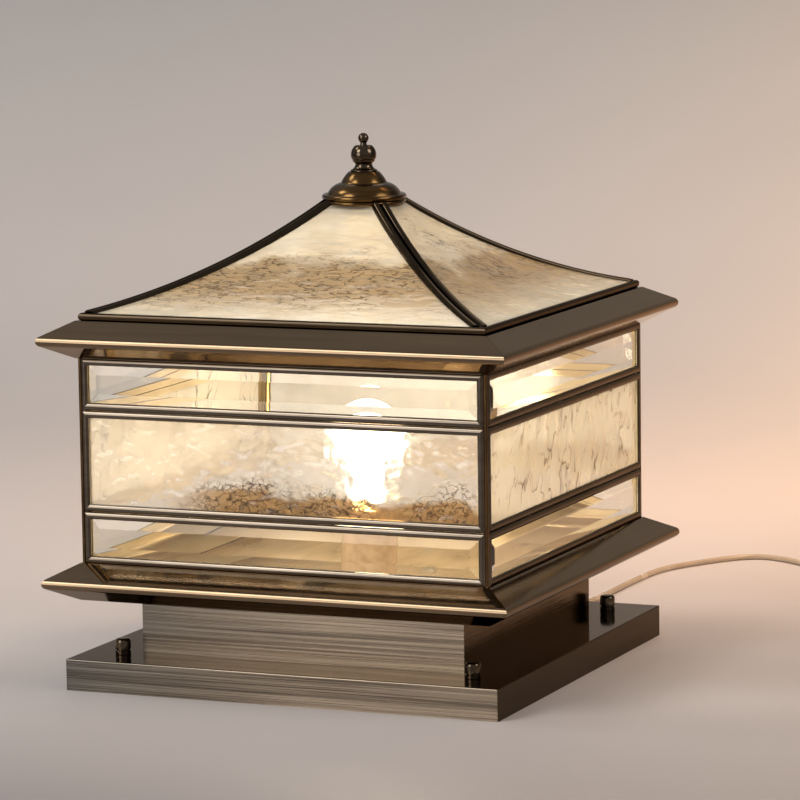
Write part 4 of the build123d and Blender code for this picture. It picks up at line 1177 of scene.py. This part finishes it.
@dataclass
class GlassBody(Assembly):
    """Came frames, their panes and the two eaves."""

    pane_half: float = 169.2
    pane_front: float = 173.5
    thickness: float = 2.8
    pane_bottom: float = 148.1
    pane_top: float = 222.4
    grid: float = 1.6
    relief: float = 0.75
    lip: float = 2.2
    hold: float = 5.0
    seed_start: float = 2.0
    seed_step: float = 11.3

    def build(self) -> None:
        """Dress the metal and the clear strips, and make the textured panes."""
        self.workshop.dress(Finish.BRONZE, "lower_eave", "upper_eave")
        self.workshop.dress(Finish.FLOOR_BRASS, "floor_plate", "bridge_bar")
        self.workshop.dress(Finish.ZINC, "bridge_screws")
        self.workshop.dress(Finish.RUBBER, "pin_grommets")
        self.workshop.dress(Finish.SOLDER, "corner_rods")
        for side in Side:
            self.workshop.dress(Finish.CAME, f"{side.label}_frame")
            for tier in ("upper", "lower"):
                name = f"{side.label}_{tier}_pane"
                self.workshop.dress(Finish.CLEAR_GLASS, name)
                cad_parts[name].visible_shadow = False
            self.textured_pane(side)

    def textured_pane(self, side: Side) -> None:
        """Make one rippled middle pane, flat on its inner face.

        Args:
            side: side of the lantern that it is on.
        """
        across = math.ceil(2 * self.pane_half / self.grid)
        high = math.ceil((self.pane_top - self.pane_bottom) / self.grid)
        pebbled = side in (Side.FRONT, Side.BACK)
        ripple = Ripple.PEBBLE if pebbled else Ripple.WAVES
        finish = Finish.PEBBLE_GLASS if pebbled else Finish.WAVE_GLASS
        seed = self.seed_step * side.value + self.seed_start
        points: list[Point] = []
        for layer in (0, 1):
            for j in range(high + 1):
                z = self.pane_bottom + (self.pane_top - self.pane_bottom) * j / high
                for i in range(across + 1):
                    y = -self.pane_half + 2 * self.pane_half * i / across
                    edge = min(self.pane_half - abs(y), z - self.pane_bottom, self.pane_top - z)
                    fade = rise_from_edge(edge - self.lip, self.hold)
                    lift = fade * self.relief * ripple.height(y, z, seed)
                    x = self.pane_front + (lift if layer == 0 else -self.thickness)
                    points.append((x * MM, y * MM, z * MM))
        name = f"{side.label}_ripple_glass"
        pane = self.workshop.piece(name, points, slab_faces(across, high), finish, sharp=60.0)
        pane.data.transform(side.turn)
        pane.visible_shadow = False
        self.workshop.fit(pane, Body.BODY, "textured_glass", f"{side.label}_middle_pane")


@dataclass
class Lamp(Assembly):
    """Lit bulb in its porcelain holder."""

    radius: float = 30.0
    top: float = 219.0
    foot: float = 135.7
    cone_angle: float = 40.0
    ball_steps: int = 32
    shoulder: tuple[Flat, ...] = (
        (20.4, 166.7), (17.8, 163.4), (15.6, 159.8), (14.0, 155.6), (13.0, 151.0), (12.6, 146.5),
    )
    neck_radius: float = 12.5
    wall: float = 1.0

    def build(self) -> None:
        """Dress the holder and make the glowing bulb."""
        self.workshop.dress(Finish.PORCELAIN, "lampholder_body")
        self.workshop.dress(Finish.PIN_BRASS, "lampholder_shell")
        self.workshop.dress(Finish.ZINC, "holder_nipple", "nipple_nut")
        self.workshop.dress(Finish.NICKEL, "bulb_cap")
        centre = self.top - self.radius
        profile: Profile = [(0.0, self.top)]
        for step in range(1, self.ball_steps + 1):
            angle = math.radians((90.0 + self.cone_angle) * step / self.ball_steps)
            profile.append((self.radius * math.sin(angle), centre + self.radius * math.cos(angle)))
        profile += self.shoulder
        profile += [(self.neck_radius, self.foot), (self.neck_radius - self.wall, self.foot)]
        bulb = self.workshop.piece("glowing_bulb", *self.workshop.turned(profile, steps=64), Finish.GLOW)
        self.workshop.fit(bulb, Body.BULB, "bulb_glass", "bulb_envelope")


@dataclass
class Roof(Assembly):
    """Lift-off roof: rim, hip bars, curved panes, cap, finial and the pins below."""

    rim_half: float = 174.4
    rim_top: float = 304.0
    mid_reach: float = 100.0
    mid_rise: float = 28.3
    collar_half: float = 27.0
    top_rise: float = 78.0
    glass_drop: float = 1.6
    thickness: float = 3.0
    foot: float = 171.1
    head: float = 27.3
    ledge: float = 300.2
    rows: int = 110
    columns: int = 150
    relief: float = 0.9
    lip: float = 0.5
    hold: float = 6.0
    seed_start: float = 5.0
    seed_step: float = 7.7
    hip_width: float = 12.8
    hip_depth: float = 6.0
    hip_groove: float = 1.6
    hip_steps: int = 48
    groove_depth: float = 3.2
    bead_radius: float = 2.5
    bead_steps: int = 6
    clearance: float = 0.3
    cap_bottom: float = 380.5
    cap_top: float = 406.0
    rib_depth: float = 0.22
    rib_pitch: float = 2.3
    rib_start: float = 6.05
    rib_end: float = 10.7

    def build(self) -> None:
        """Dress the metal and make the panes, the hip bars, the cap and the finial."""
        self.workshop.dress(Finish.FLOOR_BRASS, "roof_strap")
        self.workshop.dress(Finish.BLACK_BRONZE, "roof_rim", "roof_collar")
        self.workshop.dress(Finish.PIN_BRASS, "roof_pins")
        self.workshop.dress(Finish.ZINC, "pin_nuts", "finial_stud", "finial_nut")
        for side in Side:
            self.pane(side)
        self.hips()
        self.cap()
        self.finial()

    def curve(self, stretch: float, drop: float) -> tuple[Flat, float]:
        """Circle that the roof's section follows.

        Args:
            stretch: factor of the reach from the axis.
            drop: depth below the top of the bars, in millimetres.

        Returns:
            Its centre and radius.
        """
        marks = ((self.rim_half, 0.0), (self.mid_reach, self.mid_rise), (self.collar_half, self.top_rise))
        return circle_through(*((stretch * reach, self.rim_top + rise - drop) for reach, rise in marks))

    def pane(self, side: Side) -> None:
        """Make one curved, streaked roof pane.

        Args:
            side: side of the roof that it is on.
        """
        centre, radius = self.curve(1.0, self.glass_drop)
        first, last = (math.asin((end - centre[0]) / radius) for end in (self.foot, self.head))
        full = radius * abs(last - first)
        seed = self.seed_step * side.value + self.seed_start
        points: list[Point] = []
        for layer in (0, 1):
            for j in range(self.rows + 1):
                lean = first + (last - first) * j / self.rows
                reach = centre[0] + radius * math.sin(lean)
                half = reach - (self.hip_width / 2 + self.clearance) * DIAGONAL
                run = radius * abs(lean - first)
                for i in range(self.columns + 1):
                    y = half * (2 * i / self.columns - 1)
                    edge = min((half - abs(y)) / DIAGONAL, run, full - run)
                    fade = rise_from_edge(edge - self.lip, self.hold)
                    lift = fade * self.relief * Ripple.STREAKS.height(y, run, seed)
                    depth = radius - lift if layer == 0 else radius + self.thickness
                    x = centre[0] + depth * math.sin(lean)
                    z = max(self.ledge + SEAT_GAP, centre[1] - depth * math.cos(lean))
                    points.append((x * MM, y * MM, z * MM))
        name, faces = f"{side.label}_roof_glass", slab_faces(self.columns, self.rows)
        glass = self.workshop.piece(name, points, faces, Finish.STREAK_GLASS, sharp=60.0)
        glass.data.transform(side.turn)
        glass.visible_shadow = False
        self.workshop.fit(glass, Body.ROOF, "roof_glass", f"{side.label}_roof_pane")

    def hip_section(self) -> Profile:
        """Section of a hip bar: two round beads with a groove between.

        Returns:
            Place across the bar and depth below its top, in millimetres.
        """
        turns = [math.pi / 2 * step / self.bead_steps for step in range(self.bead_steps + 1)]
        edge = [(self.bead_radius * (1 - math.cos(t)), self.bead_radius * (1 - math.sin(t))) for t in turns]
        half: Profile = [(self.hip_width / 2, self.hip_depth)]
        half += [(self.hip_width / 2 - inset, depth) for inset, depth in edge]
        half += [(self.hip_groove / 2 + inset, depth) for inset, depth in reversed(edge)]
        half += [(self.hip_groove / 2, self.groove_depth)]
        return half + [(-across, depth) for across, depth in reversed(half)]

    def hips(self) -> None:
        """Make the four hip bars, bent along the roof curve."""
        centre, radius = self.curve(DIAGONAL, 0.0)
        section = self.hip_section()
        steps = self.hip_steps
        points: list[Point] = []
        faces: list[list[int]] = []
        for quarter in range(4):
            turn = Matrix.Rotation(math.radians(45 + 90 * quarter), 3, "Z")
            base = len(points)
            for across, depth in section:
                reach = radius + depth
                seat = -math.acos(min(1.0, (centre[1] - self.ledge - SEAT_GAP) / reach))
                first = min(seat, math.asin((DIAGONAL * self.foot - abs(across) - centre[0]) / reach))
                last = math.asin((DIAGONAL * self.head - abs(across) - centre[0]) / reach)
                for step in range(steps + 1):
                    lean = first + (last - first) * step / steps
                    place = (centre[0] + reach * math.sin(lean), across, centre[1] - reach * math.cos(lean))
                    points.append(tuple(turn @ Vector(place) * MM))
            rows = [[base + k * (steps + 1) + j for j in range(steps + 1)] for k in range(len(section))]
            for low, high in zip(rows, rows[1:] + rows[:1]):
                faces += [[low[j], low[j + 1], high[j + 1], high[j]] for j in range(steps)]
            faces.append([row[0] for row in rows])
            faces.append([row[-1] for row in reversed(rows)])
        hips = self.workshop.piece("hip_beads", points, faces, Finish.BLACK_BRONZE)
        self.workshop.fit(hips, Body.ROOF, "came_metal", "hip_bars")

    def cap(self) -> None:
        """Make the bell-shaped cap."""
        low = self.cap_bottom
        profile: Profile = [(28.6, low + 5.4), (28.6, low + SEAT_GAP), (33.2, low + SEAT_GAP)]
        profile += arc((33.4, low + 0.1), (34.1, low + 1.5), (32.8, low + 3.0), steps=8)
        profile += arc((32.8, low + 3.05), (34.6, low + 5.0), (30.6, low + 6.98), steps=10)
        profile += arc((30.5, low + 7.0), (27.45, low + 11.85), (18.9, low + 16.65), steps=12)
        profile += arc((18.7, low + 16.8), (16.1, low + 21.3), (12.4, low + 25.5), steps=12)
        profile += [(4.4, low + 25.5)]
        mesh = self.workshop.turned(profile, steps=96)
        cap = self.workshop.piece("bell_cap", *mesh, Finish.DARK_BRONZE, sharp=28.0)
        self.workshop.fit(cap, Body.ROOF, "dark_bronze", "roof_cap")

    def finial(self) -> None:
        """Make the finial, with ribs round its lower half."""
        low = self.cap_top
        profile: Profile = [(4.2, low + SEAT_GAP), (10.5, low + SEAT_GAP)]
        profile += arc((10.6, low + 0.1), (11.0, low + 0.8), (10.2, low + 1.6), steps=8)
        profile += arc((10.15, low + 1.62), (7.89, low + 3.35), (6.9, low + 5.97), steps=10)
        for r, z in arc((6.92, low + self.rib_start), (10.4, low + 13.66), (6.9, low + 21.1), steps=44):
            rib = 1 - math.cos(2 * math.pi * (z - low - self.rib_start) / self.rib_pitch)
            profile.append((r - self.rib_depth * rib * (z < low + self.rib_end), z))
        profile += [(6.6, low + 21.1), (2.95, low + 18.15), (2.75, low + 19.5), (2.6, low + 23.6)]
        profile += arc((2.6, low + 23.68), (4.3, low + 27.1), (0.4, low + 31.38), steps=14)
        profile += [(0.0, low + 31.4)]
        mesh = self.workshop.turned(profile, steps=64)
        finial = self.workshop.piece("urn_finial", *mesh, Finish.SMOKED_BRONZE, sharp=30.0)
        self.workshop.fit(finial, Body.FINIAL, "dark_bronze", "finial")


def main() -> None:
    """Build the camera, the studio and every sub-assembly."""
    logging.basicConfig(level=logging.INFO, format="%(name)s: %(message)s")
    workshop = Workshop()
    PhotoCamera().build()
    Studio().build()
    for assembly in (MainsLead, Base, GlassBody, Lamp, Roof):
        assembly(workshop).build()
        log.info("%s done", assembly.__name__)


if __name__ == "__main__":
    main()
